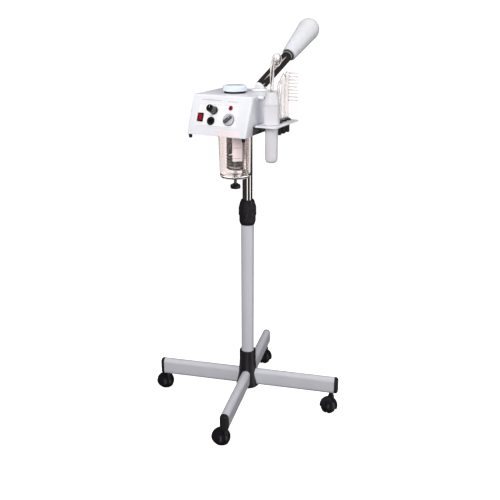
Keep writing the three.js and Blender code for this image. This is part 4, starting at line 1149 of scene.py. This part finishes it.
def bent():
    place = Matrix.Translation((*SOCKETS["bent"], 0))
    points = [(0, 0, 868), (0, 0, 915), (0, 0, 950), (0, 0, 966), (-1.5, -0.8, 977), (-0.8, -0.8, 989),
              (2.6, 0.2, 998), (5, 1, 1003)]

    def made(shrink):
        path = dense(points, 7)
        radii = []
        for r, p in zip(round_ended(path, 5.2), path):
            waist = 1.0 if p.z < 960 else 1.0 - 0.28 * min(1.0, (p.z - 960) / 25)
            radii.append(max(0.0, r * waist - shrink))
        keep = [k for k, r in enumerate(radii) if r > 0.2]
        path = [path[keep[0] - 1]] + [path[k] for k in keep] + [path[keep[-1] + 1]]
        radii = [0.0] + [radii[k] for k in keep] + [0.0]
        return sweep("bent", path, radii, place, sides=36)
    glass_shell("bent_glass", made(0), made(1.1), "bent_electrode", "bent_electrode")


def electrode_ferrules():
    """The metal cap at the foot of each glass electrode, inside its holder."""
    for name, (x, y) in SOCKETS.items():
        cap = lathe(f"{name}_ferrule", fillet([(5.55, 894), (5.75, 894), (5.75, 901), (5.55, 901)], 0.08,
                                              closed=True),
                    Matrix.Translation((x, y, 0)), sides=40, closed=True)
        finish(cap, SILVER, f"{name}_electrode", "steel")


shelf()
cradle()
electrode_sockets()
handpiece()
mushroom()
comb()
tongue()
bent()
electrode_ferrules()


# ------------------------------------------------------------------ steam arm
def heading(elevation):
    az, el = math.radians(ARM["azimuth"]), math.radians(elevation)
    return Vector((math.cos(el) * math.cos(az), math.cos(el) * math.sin(az), math.sin(el)))


ARM_BASE = Vector(ARM["base"])
ARM_WAY = heading(ARM["elevation"])
PIVOT = ARM_BASE + ARM_WAY * ARM["ball_at"]


def turret():
    deck = CASE["top"] + 0.6
    place = Matrix.Translation((ARM_BASE.x, ARM_BASE.y, 0))
    base = lathe("turret_base", fillet([(0, deck), (25, deck), (25, deck + 2.2), (20.5, 973.2), (0, 973.2)],
                                       [0, 0.4, 1.5, 3, 0]), place, sides=128)
    along = aimed(ARM_BASE, ARM_WAY)
    inner = ARM["radius"] - CASE["wall"] - 0.3
    heel = lathe("heel", fillet([(0, -4), (ARM["radius"], -4), (ARM["radius"], 0.7), (inner, 0.7),
                                 (inner, 10), (0, 10)],
                                [0, 3, 0.2, 0.2, 0.5, 0]), along, sides=96)
    boolean(base, lathe("seat", [(0, 0.8), (14.6, 0.8), (14.6, 60), (0, 60)], along, sides=96), "DIFFERENCE")
    boolean(base, heel, "UNION")
    boolean(base, lathe("steam_way", [(0, -1), (7, -1), (7, 60), (0, 60)], along, sides=48), "DIFFERENCE")
    boolean(base, block("below", (-60, -60, 900), (60, 60, deck), 0, place=place), "DIFFERENCE")
    base.name = "turret_moulding"
    finish(base, WHITE_PLASTIC, "arm", "white_plastic", "arm_turret")
    tube = tube_ring("arm_tube", ARM["radius"], ARM["radius"] - CASE["wall"], 1, ARM["end"], along, 128, 0.4)
    boolean(tube, block("below", (-60, -60, 900), (60, 60, deck + 0.4), 0, place=place), "DIFFERENCE")
    finish(tube, CHROME, "arm", "chrome", "steam_arm")


def knuckle():
    place = aimed(PIVOT, ARM_WAY)
    ball = lathe("knuckle_ball", fillet([(8, -34), (12.3, -34), (12.3, -13.8), (13.2, -12.7)],
                                        [0, 0.8, 0.5, 0])
                 + arc(18.2, 18.2, 0, 0, -43, 62, 24) + [(8, 15.6)], place, sides=96, closed=True)
    finish(ball, KNUCKLE_PLASTIC, "knuckle", "knuckle_grey", "nozzle_knuckle")


def nozzle():
    place = aimed(PIVOT, heading(NOZZLE_ELEVATION))
    rim, lip, front, cone, length, wall = -9.0, 16.5, 31.7, 105.0, 137.0, 1.9
    deep = length - cone
    outer = [(20.3, rim), (20.6, rim + 3), (21.8, 6), *arc(front, deep, 0, cone, -14, 74, 22)]
    hole_r, hole_z = outer[-1]
    inner = [(hole_r - 0.8, hole_z - 1.6), *arc(front - wall, deep - wall, 0, cone, 70, -14, 20), (19.8, 6),
             (18.9, 0), (18.3, -5), (lip, rim)]
    rounding = [0.7] + [0] * (len(outer + inner) - 2) + [0.6]
    shell = lathe("nozzle_moulding", fillet(outer + inner, rounding, closed=True), place, sides=144,
                  closed=True, sharp=45)
    finish(shell, NOZZLE_PLASTIC, "nozzle", "nozzle_white", "nozzle_shell")
    ring = tube_ring("nozzle_outlet_ring", hole_r - 0.2, hole_r - 2.2, hole_z - 3.2, hole_z - 0.4, place,
                     64, 0.6)
    finish(ring, WHITE_PLASTIC, "nozzle", "nozzle_white")


turret()
knuckle()
nozzle()

# Hidden and half-hidden CAD nodes keep their shape and take the same finishes.
for name, material in (("guide_bush", WHITE_PLASTIC), ("mast_socket", STEEL), ("boiler_head", STEEL),
                       ("jar_gasket", SEAL_RUBBER), ("steam_pipe", STEEL), ("hf_generator", GREY_PLASTIC_AND_SHADE)):
    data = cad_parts[name].data
    data.materials.clear()
    data.materials.append(material)


# ------------------------------------------------------------------ studio
CAMERA = dict(at=(0.8962, -1.7793, 1.2035), down=19.4145, turn=26.733 - 0.21, lens=51.55,
              sensor=36)  # metres, degrees, mm
BACKDROP_TURN = 26.7


def glowing(name, verts, faces, material, strength):
    """A pale studio sheet that glows a little and doesn't light the object or show in its shiny parts."""
    mesh = bpy.data.meshes.new(name)
    mesh.from_pydata(verts, [], faces)
    sheet = bpy.data.objects.new(name, mesh)
    bpy.context.scene.collection.objects.link(sheet)
    made, bsdf = shader(material, (0.9, 0.9, 0.905), 0.8, Emission_Strength=strength)
    bsdf.inputs["Emission Color"].default_value = (1, 1, 1, 1)
    mesh.materials.append(made)
    sheet.visible_glossy = sheet.visible_diffuse = False
    return sheet


def stage_floor():
    """A pale floor that curves up into a backdrop."""
    size, rise, bend = 9.0, 6.0, 1.2
    profile = [(-size, 0.0)]
    profile += [(size / 2 - bend + bend * math.sin(a), bend - bend * math.cos(a))
                for a in (math.radians(k * 9) for k in range(11))]
    profile += [(size / 2, rise)]
    rings = [[(x, y, z) for y, z in profile] for x in (-size, size)]
    verts = [v for ring in rings for v in ring]
    n = len(profile)
    faces = [(k, k + 1, n + k + 1, n + k) for k in range(n - 1)]
    turn = rotation_z(BACKDROP_TURN)
    floor = glowing("studio_floor", [turn @ Vector(v) for v in verts], faces, "studio_white", 0.85)
    for face in floor.data.polygons:
        face.use_smooth = True


def stage_wall():
    """A pale wall all around, behind the floor's own backdrop. It takes no part in the object's light."""
    sides, radius, height = 96, 8.0, 7.0
    ring = [(radius * math.cos(2 * math.pi * k / sides),
             radius * math.sin(2 * math.pi * k / sides)) for k in range(sides)]
    verts = [(x, y, z) for z in (0.0, height) for x, y in ring]
    faces = [(k, (k + 1) % sides, sides + (k + 1) % sides, sides + k) for k in range(sides)]
    wall = glowing("studio_wall", verts, faces, "studio_pale", 0.9)
    wall.visible_transmission = wall.visible_shadow = False


def area_light(name, at, target, size, power, color=(1, 1, 1), mirrored=True):
    """A soft box. One that isn't mirrored lights the object but doesn't show in its shiny parts."""
    data = bpy.data.lights.new(name, "AREA")
    data.shape = "RECTANGLE"
    data.size, data.size_y = size
    data.energy = power
    data.color = color
    box = bpy.data.objects.new(name, data)
    box.location = at
    box.rotation_mode = "QUATERNION"
    box.rotation_quaternion = (Vector(target) - Vector(at)).to_track_quat("-Z", "Y")
    box.visible_glossy = mirrored
    bpy.context.scene.collection.objects.link(box)


def studio():
    stage_floor()
    stage_wall()
    world = bpy.data.worlds.new("studio")
    world.use_nodes = True
    background = world.node_tree.nodes["Background"]
    background.inputs["Color"].default_value = (0.95, 0.82, 0.82, 1)
    background.inputs["Strength"].default_value = 0.04
    bpy.context.scene.world = world
    area_light("front_box", (0.2, -3.4, 2.3), (0, -0.1, 0.75), (1.8, 1.8), 118, mirrored=False)
    area_light("overhead_box", (0.1, 0.2, 3.3), (0, 0, 0.5), (2.6, 2.6), 46, mirrored=False)
    area_light("right_box", (2.4, 0.6, 1.0), (0, 0, 0.5), (1.6, 2.0), 27, mirrored=False)
    area_light("right_strip", (2.5, 0.15, 0.3), (0, 0, 0.5), (0.7, 3.4), 14)
    area_light("arm_strip", (1.28, 0.48, 3.28), (0.055, 0.06, 1.02), (0.8, 1.2), 2.0, color=(1.0, 0.86, 0.82))
    area_light("front_strip", (1.25, -2.85, 0.1), (0, 0, 0.4), (0.75, 3.4), 14)
    bpy.context.scene.view_settings.view_transform = "Standard"


def camera():
    data = bpy.data.cameras.new("camera")
    data.sensor_width = CAMERA["sensor"]
    data.lens = CAMERA["lens"]
    eye = bpy.data.objects.new("camera", data)
    eye.location = CAMERA["at"]
    eye.rotation_euler = (math.radians(90 - CAMERA["down"]), 0, math.radians(CAMERA["turn"]))
    data.clip_end = 60
    bpy.context.scene.collection.objects.link(eye)
    bpy.context.scene.camera = eye


camera()
studio()
